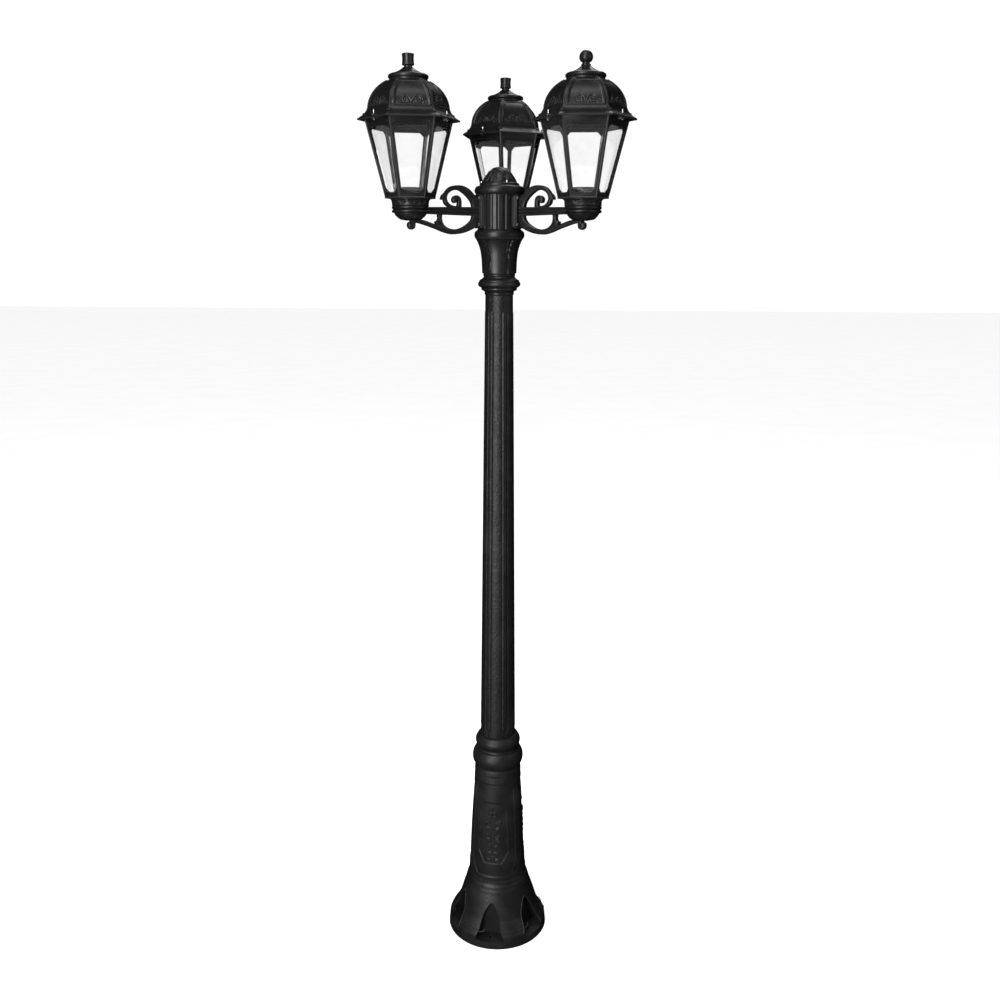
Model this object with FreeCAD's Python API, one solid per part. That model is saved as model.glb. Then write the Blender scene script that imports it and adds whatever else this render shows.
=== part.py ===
# Triple head lamp post: a cast, tapering post with three hexagonal lanterns on scrolled arms.
# Millimetres, +Z up. The origin is on the ground, on the post's axis. The rear arm points along +Y.
import FreeCAD, Part
import math
import os

from FreeCAD import Rotation, Vector

# ---------------------------------------------------------------- driving dimensions
# Stand-off between faces of different pieces that turn or lift past each other.
RUN_GAP = 0.3
# Radial play of a piece that slips over or into another.
SLIP_FIT = 0.2
# How far a cutter runs past the face it cuts, and a fused form runs into what carries it.
OVERRUN = 1.0

# Foot and plinth (one hollow casting)
FOOT_R = 134.0
RIM_TOP_R = 130.5
RIM_H = 34.0
SHOULDER_R = 105.0
SHOULDER_H = 46.0
SKIRT_TOP_R = 80.0
SKIRT_H = 77.0
SKIRT_COVE_H = 10.0
PLINTH_FOOT_R = 77.5
PLINTH_TOP_R = 59.0
PLINTH_H = 319.0
BROAD_RING_R = 66.6
BROAD_RING_H = 48.0
WAIST_R = 55.4
WAIST_H = 8.0
NARROW_RING_R = 58.7
NARROW_RING_H = 32.0
BASE_TURN = -96.0
BASE_FLOOR_H = 10.0
BASE_WALL = 9.0
FOOT_CAVITY_R = 80.0
CABLE_ENTRY_R = 30.0
SHAFT_SOCKET_DEPTH = 74.0

# Arched recesses round the foot, each with one anchor hole in its floor
RECESS_COUNT = 6
RECESS_HALF_W = 32.0
RECESS_FLOOR_Z = 20.0
RECESS_SPRING_Z = 50.0
RECESS_APEX_Z = 115.0
RECESS_BACK_R = 88.0
ANCHOR_R = 108.0
ANCHOR_HOLE_R = 5.5

# Ribbed shaft
SHAFT_FOOT_R = 44.7
SHAFT_TOP_R = 32.6
SHAFT_SHOWN_H = 1147.0
SHAFT_WALL = 6.5
RIB_COUNT = 6
RIB_TURN = -62.5
RIB_HALF_ANGLE = 8.0
RIB_PROUD = 1.2
RIB_FOOT_GAP = 18.0
RIB_HEAD_GAP = 39.0
SHAFT_SCREW_R = 3.0

# Beaded collar on the shaft's top
COLLAR_H = 50.0
COLLAR_FOOT_R = 35.6
COLLAR_R = 50.8
COLLAR_TOP_R = 39.0
COLLAR_LAP = 26.0

# Flaring neck under the head
NECK_FOOT_R = 40.2
NECK_TOP_R = 52.0
NECK_H = 82.0
NECK_STRAIGHT_H = 30.0
NECK_WALL = 6.0
SPIGOT_R = 25.0
SPIGOT_DROP = 70.0

# Head that carries the arms
HEAD_RING_R = 59.0
HEAD_RING_H = 20.0
HEAD_R = 51.3
HEAD_H = 80.0
HEAD_BORE_R = 38.0
HEAD_FLOOR_H = 5.0
HEAD_WIRE_HOLE_R = 12.0
REED_COUNT = 20
REED_GROOVE_W = 7.7
REED_GROOVE_DEPTH = 2.2

# Cap of the head
CAP_GASKET_T = 1.5
CAP_RING_R = 57.5
CAP_RING_H = 17.0
CAP_STEP_R = 46.5
CAP_STEP_H = 7.0
CAP_DOME_R = 43.0
CAP_DOME_H = 37.0
CAP_KNOB_R = 12.0
CAP_WALL = 4.0
CAP_SCREW_TURN = -63.0
CAP_SCREW_R = 2.0
CAP_SCREW_HEAD_R = 3.6
CAP_SCREW_HEAD_H = 2.6
CAP_SCREW_DEPTH = 18.0
CAP_SPOT_DEPTH = 1.0

# Terminal block in the head
BLOCK_L = 36.0
BLOCK_W = 14.0
BLOCK_H = 22.0
BLOCK_OFFSET = 23.0
BLOCK_WIRE_HOLES = 3

# Arms
ARM_ANGLES = {"rear": 90.0, "left": 210.0, "right": 330.0}
ARM_REACH = 225.0
FLANGE_SEAT = 47.5
FLANGE_T = 10.5
FLANGE_W = 40.0
FLANGE_H = 76.0
FLANGE_CHAMFER = 6.0
FLANGE_SCREW_RISE = 30.0
FLANGE_SCREW_SIDE = 12.5
FLANGE_SCREW_R = 2.5
FLANGE_SCREW_HEAD_R = 4.5
FLANGE_SCREW_HEAD_H = 3.5
FLANGE_SCREW_BITE = 7.0
BAR_W = 14.0
BAR_ROOT_H = 20.5
BAR_TIP_H = 16.0
BAR_GROOVE = 1.3
BAR_BORE_R = 4.0

# Scrolls on the arms: flat strips as wide as the bar, curled in the arm's plane
SCROLL_T = 10.0
SCROLL_EYE_R = 7.0
UPPER_START = 79.0
UPPER_LEG = 8.0
UPPER_BACK_ARC_R = 32.0
UPPER_FRONT_ARC_R = 30.0
UPPER_FOOT_ARC_R = 8.5
UPPER_RUN = 13.0
UPPER_INNER_ARC_R = 8.5
UPPER_EYE_ARC_R = 6.0
LOWER_START = 72.0
LOWER_DROP = 45.0
LOWER_ROOT_ANGLE = 80.0
LOWER_RISE_ARC_R = 90.0
LOWER_CREST_ARC_R = 70.0
LOWER_HOOK_ARC_R = 7.0
LOWER_HOOK_TURN = 200.0
LOWER_LEG_REACH = 144.0
LOWER_LEG_ARC_R = 22.0
LOWER_LEG_TURN = 60.0

# Bowl at each arm's end, with the hollow stud that holds the lantern
BOWL_R = 42.4
BOWL_H = 32.0
BOWL_RISE = 9.0
BOWL_FOOT_R = 10.0
BOWL_BAND_H = 15.0
BOWL_WALL = 4.0
STUD_R = 5.0
STUD_BORE_R = 3.0
STUD_SLOT_R = 2.5
STUD_FOOT_T = 2.0
STUD_BOSS_R = 10.0
STUD_BOSS_H = 5.0
STUD_TOP = 9.0

# Lantern: neck cup, glazed hexagonal frame and lampholder
LANTERN_TWIST = {"rear": 26.0, "left": 13.0, "right": 0.0}
CUP_FOOT_R = 41.0
CUP_TOP_R = 45.5
CUP_H = 16.0
CUP_WALL = 3.5
FRAME_FOOT_R = 56.5
FRAME_TOP_R = 98.5
FRAME_H = 168.0
FRAME_WALL = 6.0
FRAME_FLOOR_H = 4.0
POST_FACE_W = 7.0
BOTTOM_RAIL_H = 12.0
TOP_RAIL_H = 10.0
GUSSET = 9.0
PANE_T = 2.5
PANE_LAP = 1.8
CUP_SCREW_R = 2.0
CUP_SCREW_HEAD_R = 3.6
CUP_SCREW_HEAD_H = 2.4
CUP_SCREW_DEPTH = 12.0
CUP_BOSS_R = 4.2
HOLDER_BARREL_R = 19.0
HOLDER_R = 32.5
HOLDER_H = 20.0
SOCKET_R = 13.4
SOCKET_DEPTH = 29.0
LUG_W = 14.0
LUG_T = 6.0
LUG_PAST_SCREW = 6.5

# Roof: flared brim, six-sided dome, disc and finial with its nut
BRIM_OVERHANG = 16.5
BRIM_EDGE_H = 3.5
BRIM_MID_OVERHANG = 3.0
BRIM_MID_H = 11.5
BRIM_RISE = 20.0
DOME_INSET = 6.5
DOME_H = 71.4
DOME_CUT = 58.0
DOME_STEPS = 6
ROOF_WALL = 3.5
ROOF_SCREW_OVERHANG = 6.7
ROOF_BOSS_R = 5.2
ROOF_BOSS_TOP = 9.5
ROOF_SCREW_R = 2.0
ROOF_SCREW_HEAD_R = 3.2
ROOF_SCREW_HEAD_H = 7.0
DISC_R = 42.7
DISC_ROLL_R = 45.0
DISC_STEP_H = 5.0
DISC_ROLL_H = 11.0
DISC_SHOULDER_R = 21.0
DISC_SHOULDER_H = 8.0
DISC_SEAT_R = 11.0
DISC_SEAT_H = 4.0
FINIAL_NECK_R = 9.2
FINIAL_NECK_H = 6.0
SLEEVE_R = 12.9
SLEEVE_WAIST_R = 12.2
SLEEVE_H = 24.0
BEAD_R = 10.8
BEAD_H = 4.5
BALL_NECK_R = 8.4
BALL_R = 15.1
BALL_H = 25.5
FINIAL_STUD_R = 4.0
FINIAL_NUT_R = 9.0
FINIAL_NUT_H = 7.0
FINIAL_STUD_END = 3.0

# ---------------------------------------------------------------- heights up the post
SHOULDER_Z = RIM_H + SHOULDER_H
PLINTH_Z = SHOULDER_Z + SKIRT_H + SKIRT_COVE_H
BROAD_RING_Z = PLINTH_Z + PLINTH_H
WAIST_Z = BROAD_RING_Z + BROAD_RING_H
NARROW_RING_Z = WAIST_Z + WAIST_H
SHAFT_Z = NARROW_RING_Z + NARROW_RING_H
COLLAR_Z = SHAFT_Z + SHAFT_SHOWN_H
NECK_Z = COLLAR_Z + COLLAR_H
HEAD_RING_Z = NECK_Z + NECK_H
HEAD_Z = HEAD_RING_Z + HEAD_RING_H
CAP_Z = HEAD_Z + HEAD_H + CAP_GASKET_T
ARM_Z = HEAD_Z + HEAD_H / 2
BOWL_TOP_Z = ARM_Z + BOWL_RISE
BOWL_Z = BOWL_TOP_Z - BOWL_H
# The lantern's own heights count from its seat on the bowl.
FRAME_Z = CUP_H
ROOF_Z = FRAME_Z + FRAME_H
ROOF_TOP_Z = ROOF_Z + BRIM_RISE + DOME_H * math.sin(math.radians(DOME_CUT))
DISC_TOP_Z = ROOF_TOP_Z + DISC_STEP_H + DISC_ROLL_H + DISC_SHOULDER_H + DISC_SEAT_H

UP = Vector(0, 0, 1)
HEX_FLAT = math.cos(math.radians(30))

# The roof's corner radii and its screws follow the frame's top.
BRIM_R = FRAME_TOP_R + BRIM_OVERHANG
BRIM_MID_R = FRAME_TOP_R + BRIM_MID_OVERHANG
DOME_R = FRAME_TOP_R - DOME_INSET
ROOF_SCREW_APOTHEM = FRAME_TOP_R * HEX_FLAT + ROOF_SCREW_OVERHANG
LUG_REACH = ROOF_SCREW_APOTHEM + LUG_PAST_SCREW


# ---------------------------------------------------------------- shape helpers
def edges_through(points):
    """Edges through (a, z) pairs in the XZ plane; a pair marked "via" is the middle of an arc."""
    edges = []
    index = 0
    while index < len(points) - 1:
        start = Vector(points[index][0], 0, points[index][1])
        middle = points[index + 1]
        if len(middle) == 3:
            end = Vector(points[index + 2][0], 0, points[index + 2][1])
            edges.append(Part.Arc(start, Vector(middle[0], 0, middle[1]), end).toShape())
            index += 2
        else:
            edges.append(Part.LineSegment(start, Vector(middle[0], 0, middle[1])).toShape())
            index += 1
    return edges


def outline_face(points):
    """Flat face in the XZ plane inside a closed outline."""
    return Part.Face(Part.Wire(edges_through(list(points) + [points[0]])))


def turned(points):
    """Solid turned about the Z axis from an outline of (radius, height) pairs."""
    return outline_face(points).revolve(Vector(0, 0, 0), UP, 360)


def pipe(radius, z_low, z_high, x=0.0, y=0.0):
    """Upright cylinder between two heights."""
    return Part.makeCylinder(radius, z_high - z_low, Vector(x, y, z_low))


def rod(radius, start, length, direction):
    """Cylinder from a start point along a direction."""
    return Part.makeCylinder(radius, length, Vector(*start), Vector(*direction))


def block(x_low, x_high, y_half, z_low, z_high):
    """Box between two distances and two heights, even about the XZ plane."""
    return Part.makeBox(x_high - x_low, 2 * y_half, z_high - z_low, Vector(x_low, -y_half, z_low))


def around(shape, count, first=0.0):
    """Copies of a shape turned evenly about the Z axis."""
    copies = []
    for index in range(count):
        copy = shape.copy()
        copy.rotate(Vector(0, 0, 0), UP, first + 360.0 * index / count)
        copies.append(copy)
    return copies


def polar(radius, angle):
    """X and Y of a point at a radius and an angle in degrees."""
    return radius * math.cos(math.radians(angle)), radius * math.sin(math.radians(angle))


def hexagon(corner_r, z):
    """Hexagonal wire with a flat side facing +X."""
    corners = [Vector(*polar(corner_r, 30 + 60 * index), z) for index in range(6)]
    return Part.makePolygon(corners + [corners[0]])


def hex_stack(levels):
    """Straight-sided solid through hexagons of (corner radius, height)."""
    return Part.makeLoft([hexagon(corner_r, z) for corner_r, z in levels], True, True)


class Strip:
    """A flat strip of even thickness that is laid out as runs and arcs in the XZ plane."""

    def __init__(self, start, heading, thickness):
        self.spot = Vector(start[0], 0, start[1])
        self.heading = math.radians(heading)
        self.half = thickness / 2
        self.faces = []

    def ahead(self):
        return Vector(math.cos(self.heading), 0, math.sin(self.heading))

    def left(self):
        return Vector(-math.sin(self.heading), 0, math.cos(self.heading))

    def run(self, length):
        """Add a straight run."""
        end = self.spot + self.ahead() * length
        side = self.left() * self.half
        corners = [self.spot + side, self.spot - side, end - side, end + side]
        self.faces.append(Part.Face(Part.makePolygon(corners + [corners[0]])))
        self.spot = end
        return self

    def arc(self, radius, turn):
        """Add an arc; a positive turn bends to the left."""
        sign = math.copysign(1.0, turn)
        centre = self.spot + self.left() * (radius * sign)
        rings = []
        for share in (0.0, 0.5, 1.0):
            angle = self.heading + math.radians(turn) * share
            spoke = Vector(math.sin(angle), 0, -math.cos(angle)) * sign
            rings.append((centre + spoke * (radius - self.half), centre + spoke * (radius + self.half)))
        inner = Part.Arc(rings[0][0], rings[1][0], rings[2][0]).toShape()
        outer = Part.Arc(rings[0][1], rings[1][1], rings[2][1]).toShape()
        ends = [Part.LineSegment(*rings[0]).toShape(), Part.LineSegment(*rings[2]).toShape()]
        self.faces.append(Part.Face(Part.Wire(Part.__sortEdges__([inner, outer] + ends))))
        self.heading += math.radians(turn)
        self.spot = centre + Vector(math.sin(self.heading), 0, -math.cos(self.heading)) * (radius * sign)
        return self

    def solid(self, width, extras=()):
        """The strip as one solid, even about the XZ plane, with any extra flat faces fused to it."""
        pieces = [face.extrude(Vector(0, width, 0)) for face in self.faces + list(extras)]
        body = pieces[0].multiFuse(pieces[1:]).removeSplitter()
        body.translate(Vector(0, -width / 2, 0))
        return body


def disc_face(x, z, radius):
    """Round flat face in the XZ plane."""
    return Part.Face(Part.Wire(Part.makeCircle(radius, Vector(x, 0, z), Vector(0, 1, 0))))


def export(name, shape):
    """Write one node's STEP file."""
    if not shape.isValid():
        raise ValueError(name + " is not a valid shape")
    shape.exportStep("parts/" + name + ".step")
    solids = shape.Solids
    print("%-24s %2d solid(s) %10.1f cm3" % (name, len(solids), sum(s.Volume for s in solids) / 1000))


# ---------------------------------------------------------------- post
def shaft_radius(z):
    """Outer radius of the tapering shaft at a height."""
    share = (z - SHAFT_Z) / SHAFT_SHOWN_H
    return SHAFT_FOOT_R + (SHAFT_TOP_R - SHAFT_FOOT_R) * share


def base_outline():
    """Half outline of the foot, skirt, plinth and the two rings over it."""
    skirt_top = PLINTH_Z - SKIRT_COVE_H
    return [
        (0, 0),
        (FOOT_R, 0),
        (RIM_TOP_R, RIM_H),
        ((RIM_TOP_R + SHOULDER_R) / 2 + 4, RIM_H + SHOULDER_H / 2, "via"),
        (SHOULDER_R, SHOULDER_Z),
        (SKIRT_TOP_R, skirt_top),
        (PLINTH_FOOT_R, PLINTH_Z),
        (PLINTH_TOP_R, BROAD_RING_Z),
        (BROAD_RING_R - 5, BROAD_RING_Z + BROAD_RING_H * 0.15),
        (BROAD_RING_R, BROAD_RING_Z + BROAD_RING_H * 0.5, "via"),
        (BROAD_RING_R - 5, BROAD_RING_Z + BROAD_RING_H * 0.85),
        (WAIST_R, WAIST_Z),
        (WAIST_R, NARROW_RING_Z),
        (NARROW_RING_R, NARROW_RING_Z + NARROW_RING_H * 0.4, "via"),
        (WAIST_R - 1, NARROW_RING_Z + NARROW_RING_H * 0.85),
        (SHAFT_FOOT_R + 3, SHAFT_Z),
        (0, SHAFT_Z),
    ]


def base_casting():
    """Hollow foot and plinth with the shaft's socket, arched recesses and anchor holes."""
    socket_z = SHAFT_Z - SHAFT_SOCKET_DEPTH
    socket_r = shaft_radius(socket_z) + SLIP_FIT
    cavity = turned([
        (0, BASE_FLOOR_H),
        (FOOT_CAVITY_R, BASE_FLOOR_H),
        (PLINTH_FOOT_R - BASE_WALL, PLINTH_Z),
        (PLINTH_TOP_R - BASE_WALL, socket_z - 3 * BASE_WALL),
        (socket_r - SHAFT_WALL, socket_z),
        (0, socket_z),
    ])
    tools = [cavity, pipe(CABLE_ENTRY_R, -OVERRUN, BASE_FLOOR_H + OVERRUN)]
    socket = turned([
        (0, socket_z),
        (socket_r, socket_z),
        (SHAFT_FOOT_R + SLIP_FIT, SHAFT_Z + OVERRUN),
        (0, SHAFT_Z + OVERRUN),
    ])
    tools.append(socket)
    arch = outline_face([
        (-RECESS_HALF_W, RECESS_FLOOR_Z),
        (RECESS_HALF_W, RECESS_FLOOR_Z),
        (RECESS_HALF_W, RECESS_SPRING_Z),
        (RECESS_HALF_W * 0.62, (RECESS_SPRING_Z + RECESS_APEX_Z) / 2 + 3, "via"),
        (0, RECESS_APEX_Z),
        (-RECESS_HALF_W * 0.62, (RECESS_SPRING_Z + RECESS_APEX_Z) / 2 + 3, "via"),
        (-RECESS_HALF_W, RECESS_SPRING_Z),
    ])
    recess = arch.extrude(Vector(0, FOOT_R, 0))
    recess.translate(Vector(0, RECESS_BACK_R, 0))
    recess.rotate(Vector(0, 0, 0), UP, -90)
    tools += around(recess, RECESS_COUNT, BASE_TURN)
    anchor = pipe(ANCHOR_HOLE_R, -OVERRUN, RECESS_FLOOR_Z + OVERRUN, ANCHOR_R)
    tools += around(anchor, RECESS_COUNT, BASE_TURN)
    screw_z = WAIST_Z + WAIST_H / 2
    screw_hole = rod(SHAFT_SCREW_R, (SHAFT_FOOT_R - 2, 0, screw_z), WAIST_R, (1, 0, 0))
    tools += around(screw_hole, 3, BASE_TURN + 60)
    return turned(base_outline()).cut(tools)


def shaft_screws():
    """Three grub screws in the waist between the rings, which grip the shaft."""
    screw_z = WAIST_Z + WAIST_H / 2
    tip = shaft_radius(screw_z)
    screw = rod(SHAFT_SCREW_R, (tip, 0, screw_z), WAIST_R - 1 - tip, (1, 0, 0))
    hexagon_key = rod(SHAFT_SCREW_R / 2, (WAIST_R - 4, 0, screw_z), 5, (1, 0, 0))
    return Part.makeCompound(around(screw.cut(hexagon_key), 3, BASE_TURN + 60))


def shaft_rib():
    """One raised rib with half-round ends on the shaft's skin, facing +X."""
    z_low = SHAFT_Z + RIB_FOOT_GAP
    z_high = COLLAR_Z - RIB_HEAD_GAP
    low_half = shaft_radius(z_low) * math.sin(math.radians(RIB_HALF_ANGLE))
    high_half = shaft_radius(z_high) * math.sin(math.radians(RIB_HALF_ANGLE))
    face = outline_face([
        (-low_half, z_low + low_half),
        (0, z_low, "via"),
        (low_half, z_low + low_half),
        (high_half, z_high - high_half),
        (0, z_high, "via"),
        (-high_half, z_high - high_half),
    ])
    column = face.extrude(Vector(0, SHAFT_FOOT_R * 2, 0))
    column.rotate(Vector(0, 0, 0), UP, -90)
    skin = turned([
        (shaft_radius(z_low) - OVERRUN, z_low),
        (shaft_radius(z_low) + RIB_PROUD, z_low),
        (shaft_radius(z_high) + RIB_PROUD, z_high),
        (shaft_radius(z_high) - OVERRUN, z_high),
    ])
    return column.common(skin)


def shaft():
    """Hollow tapering shaft with six long ribs."""
    low = SHAFT_Z - SHAFT_SOCKET_DEPTH
    high = COLLAR_Z + COLLAR_LAP
    body = turned([(0, low), (shaft_radius(low), low), (shaft_radius(high), high), (0, high)])
    bore = turned([
        (0, low - OVERRUN),
        (shaft_radius(low) - SHAFT_WALL, low - OVERRUN),
        (shaft_radius(high) - SHAFT_WALL, high + OVERRUN),
        (0, high + OVERRUN),
    ])
    return body.cut(bore).multiFuse(around(shaft_rib(), RIB_COUNT, RIB_TURN)).removeSplitter()


def collar():
    """Beaded ring over the shaft's top; the neck stands on it."""
    body = turned([
        (0, COLLAR_Z),
        (COLLAR_FOOT_R, COLLAR_Z),
        (COLLAR_FOOT_R, COLLAR_Z + COLLAR_H * 0.12),
        (COLLAR_R - 8, COLLAR_Z + COLLAR_H * 0.28),
        (COLLAR_R - 3, COLLAR_Z + COLLAR_H * 0.4),
        (COLLAR_R, COLLAR_Z + COLLAR_H * 0.55, "via"),
        (COLLAR_R - 4, COLLAR_Z + COLLAR_H * 0.7),
        (COLLAR_TOP_R - 1, COLLAR_Z + COLLAR_H * 0.8),
        (COLLAR_TOP_R + 0.5, COLLAR_Z + COLLAR_H * 0.88, "via"),
        (COLLAR_TOP_R - 2, COLLAR_Z + COLLAR_H),
        (0, COLLAR_Z + COLLAR_H),
    ])
    lap_z = COLLAR_Z + COLLAR_LAP
    seat = turned([
        (0, COLLAR_Z - OVERRUN),
        (SHAFT_TOP_R + SLIP_FIT, COLLAR_Z - OVERRUN),
        (SHAFT_TOP_R + SLIP_FIT, lap_z),
        (0, lap_z),
    ])
    return body.cut([seat, pipe(SPIGOT_R + SLIP_FIT, lap_z - OVERRUN, NECK_Z + OVERRUN)])


def neck():
    """Flaring neck with a spigot down through the collar into the shaft."""
    body = turned([
        (0, NECK_Z),
        (NECK_FOOT_R, NECK_Z),
        (NECK_FOOT_R + 1, NECK_Z + NECK_STRAIGHT_H),
        ((NECK_FOOT_R + NECK_TOP_R) / 2 - 1.5, NECK_Z + NECK_H * 0.74, "via"),
        (NECK_TOP_R, HEAD_RING_Z),
        (0, HEAD_RING_Z),
    ])
    spigot = pipe(SPIGOT_R, NECK_Z - SPIGOT_DROP, NECK_Z)
    bore = pipe(SPIGOT_R - NECK_WALL, NECK_Z - SPIGOT_DROP - OVERRUN, HEAD_RING_Z + OVERRUN)
    return body.fuse(spigot).cut(bore).removeSplitter()


def head():
    """Reeded barrel that carries the arms, with a rolled ring below and a floor inside."""
    body = turned([
        (0, HEAD_RING_Z),
        (HEAD_RING_R - 3, HEAD_RING_Z),
        (HEAD_RING_R, HEAD_RING_Z + HEAD_RING_H * 0.45, "via"),
        (HEAD_R + 1, HEAD_Z),
        (HEAD_R, HEAD_Z),
        (HEAD_R, HEAD_Z + HEAD_H),
        (0, HEAD_Z + HEAD_H),
    ])
    outside = HEAD_RING_R + OVERRUN
    top = HEAD_Z + HEAD_H + OVERRUN
    groove = block(HEAD_R - REED_GROOVE_DEPTH, outside, REED_GROOVE_W / 2, HEAD_Z, top)
    tools = around(groove, REED_COUNT)
    tools.append(pipe(HEAD_BORE_R, HEAD_Z + HEAD_FLOOR_H, top))
    tools.append(pipe(HEAD_WIRE_HOLE_R, HEAD_RING_Z - OVERRUN, HEAD_Z + HEAD_FLOOR_H + OVERRUN))
    seat_rise = FLANGE_H / 2 + SLIP_FIT
    seat_half = FLANGE_W / 2 + SLIP_FIT
    seat = block(FLANGE_SEAT, outside, seat_half, ARM_Z - seat_rise, ARM_Z + seat_rise)
    bore = rod(BAR_BORE_R, (HEAD_BORE_R - BAR_BORE_R, 0, ARM_Z), HEAD_R, (1, 0, 0))
    for angle in ARM_ANGLES.values():
        for tool in [seat, bore] + flange_screw_cores(FLANGE_SCREW_R + SLIP_FIT):
            copy = tool.copy()
            copy.rotate(Vector(0, 0, 0), UP, angle)
            tools.append(copy)
    low = HEAD_Z + HEAD_H - CAP_SCREW_DEPTH
    cap_hole = pipe(CAP_SCREW_R + SLIP_FIT, low, top, cap_screw_radius())
    tools += around(cap_hole, 3, CAP_SCREW_TURN)
    return body.cut(tools)


def cap_screw_radius():
    """Distance of the cap's screws from the axis, in the middle of the step."""
    return CAP_STEP_R - CAP_SCREW_HEAD_R


def head_gasket():
    """Flat seal between the head and its cap."""
    low = HEAD_Z + HEAD_H
    ring = pipe(HEAD_R - REED_GROOVE_DEPTH, low, CAP_Z).cut(pipe(HEAD_BORE_R, low - OVERRUN, CAP_Z + OVERRUN))
    hole = pipe(CAP_SCREW_R + SLIP_FIT, low - OVERRUN, CAP_Z + OVERRUN, cap_screw_radius())
    corner = FLANGE_W / 2 + SLIP_FIT
    seat = block(FLANGE_SEAT, HEAD_R + OVERRUN, corner, low - OVERRUN, CAP_Z + OVERRUN)
    notches = []
    for angle in ARM_ANGLES.values():
        notch = seat.copy()
        notch.rotate(Vector(0, 0, 0), UP, angle)
        notches.append(notch)
    return ring.cut(around(hole, 3, CAP_SCREW_TURN) + notches)


def head_cap():
    """Hollow domed cap with a rolled ring and a step for its screws."""
    step_z = CAP_Z + CAP_RING_H
    dome_z = step_z + CAP_STEP_H
    top_z = dome_z + CAP_DOME_H
    body = turned([
        (0, CAP_Z),
        (CAP_RING_R - 4, CAP_Z),
        (CAP_RING_R, CAP_Z + CAP_RING_H * 0.5, "via"),
        (CAP_RING_R - 5, step_z),
        (CAP_STEP_R, step_z),
        (CAP_STEP_R, dome_z),
        (CAP_DOME_R, dome_z),
        (CAP_DOME_R * 0.76, dome_z + CAP_DOME_H * 0.4, "via"),
        (CAP_KNOB_R + 6, dome_z + CAP_DOME_H * 0.87),
        (CAP_KNOB_R, top_z - 1, "via"),
        (CAP_KNOB_R / 3, top_z),
        (0, top_z),
    ])
    hollow = turned([
        (0, CAP_Z - OVERRUN),
        (HEAD_BORE_R, CAP_Z - OVERRUN),
        (HEAD_BORE_R, step_z),
        (HEAD_BORE_R * 0.8, dome_z + CAP_DOME_H * 0.25),
        (CAP_KNOB_R, top_z - 2.5 * CAP_WALL),
        (0, top_z - 2 * CAP_WALL),
    ])
    at = cap_screw_radius()
    holes = around(pipe(CAP_SCREW_R + SLIP_FIT, CAP_Z - OVERRUN, dome_z + OVERRUN, at), 3, CAP_SCREW_TURN)
    spot_face = pipe(CAP_SCREW_HEAD_R + SLIP_FIT, dome_z - CAP_SPOT_DEPTH, dome_z + 2 * CAP_SCREW_HEAD_H, at)
    seats = around(spot_face, 3, CAP_SCREW_TURN)
    return body.cut([hollow] + holes + seats)


def cap_screws():
    """Three pan head screws that hold the cap."""
    at = cap_screw_radius()
    seat_z = CAP_Z + CAP_RING_H + CAP_STEP_H - CAP_SPOT_DEPTH
    low = HEAD_Z + HEAD_H - CAP_SCREW_DEPTH
    screw = pipe(CAP_SCREW_R, low, seat_z, at)
    screw = screw.fuse(pipe(CAP_SCREW_HEAD_R, seat_z, seat_z + CAP_SCREW_HEAD_H, at))
    return Part.makeCompound(around(screw, 3, CAP_SCREW_TURN))


def terminal_block():
    """Terminal block on the head's floor, with its wire holes."""
    low = HEAD_Z + HEAD_FLOOR_H
    body = Part.makeBox(BLOCK_L, BLOCK_W, BLOCK_H, Vector(-BLOCK_L / 2, -BLOCK_OFFSET - BLOCK_W / 2, low))
    pitch = BLOCK_L / BLOCK_WIRE_HOLES
    tools = []
    for index in range(BLOCK_WIRE_HOLES):
        x = (index - (BLOCK_WIRE_HOLES - 1) / 2) * pitch
        start = (x, -BLOCK_OFFSET - BLOCK_W, low + BLOCK_H / 2)
        tools.append(rod(2.2, start, 2 * BLOCK_W, (0, 1, 0)))
    return body.cut(tools)


# ---------------------------------------------------------------- arms (built along +X, heights from ARM_Z)
def flange_screw_cores(radius):
    """Four rods along the flange's screws, from inside the head's wall out to the screw heads."""
    start = FLANGE_SEAT - FLANGE_SCREW_BITE
    length = FLANGE_T + FLANGE_SCREW_BITE
    cores = []
    for y in (-FLANGE_SCREW_SIDE, FLANGE_SCREW_SIDE):
        for z in (-FLANGE_SCREW_RISE, FLANGE_SCREW_RISE):
            cores.append(rod(radius, (start, y, ARM_Z + z), length, (1, 0, 0)))
    return cores


def bar_half_height(x):
    """Half the bar's height at a distance from the post's axis."""
    root = FLANGE_SEAT + FLANGE_T
    share = (x - root) / (ARM_REACH - BOWL_R - root)
    return (BAR_ROOT_H + (BAR_TIP_H - BAR_ROOT_H) * share) / 2


def bar_section(x):
    """Section of the bar at a distance, with two grooves along each side."""
    top = bar_half_height(x)
    side = BAR_W / 2
    flank = [(side, top)]
    for z in (top / 3, -top / 3):
        flank += [(side, z + BAR_GROOVE), (side - BAR_GROOVE, z), (side, z - BAR_GROOVE)]
    flank.append((side, -top))
    around_section = flank + [(-y, z) for y, z in reversed(flank)]
    corners = [Vector(x, y, ARM_Z + z) for y, z in around_section]
    return Part.makePolygon(corners + [corners[0]])


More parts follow.
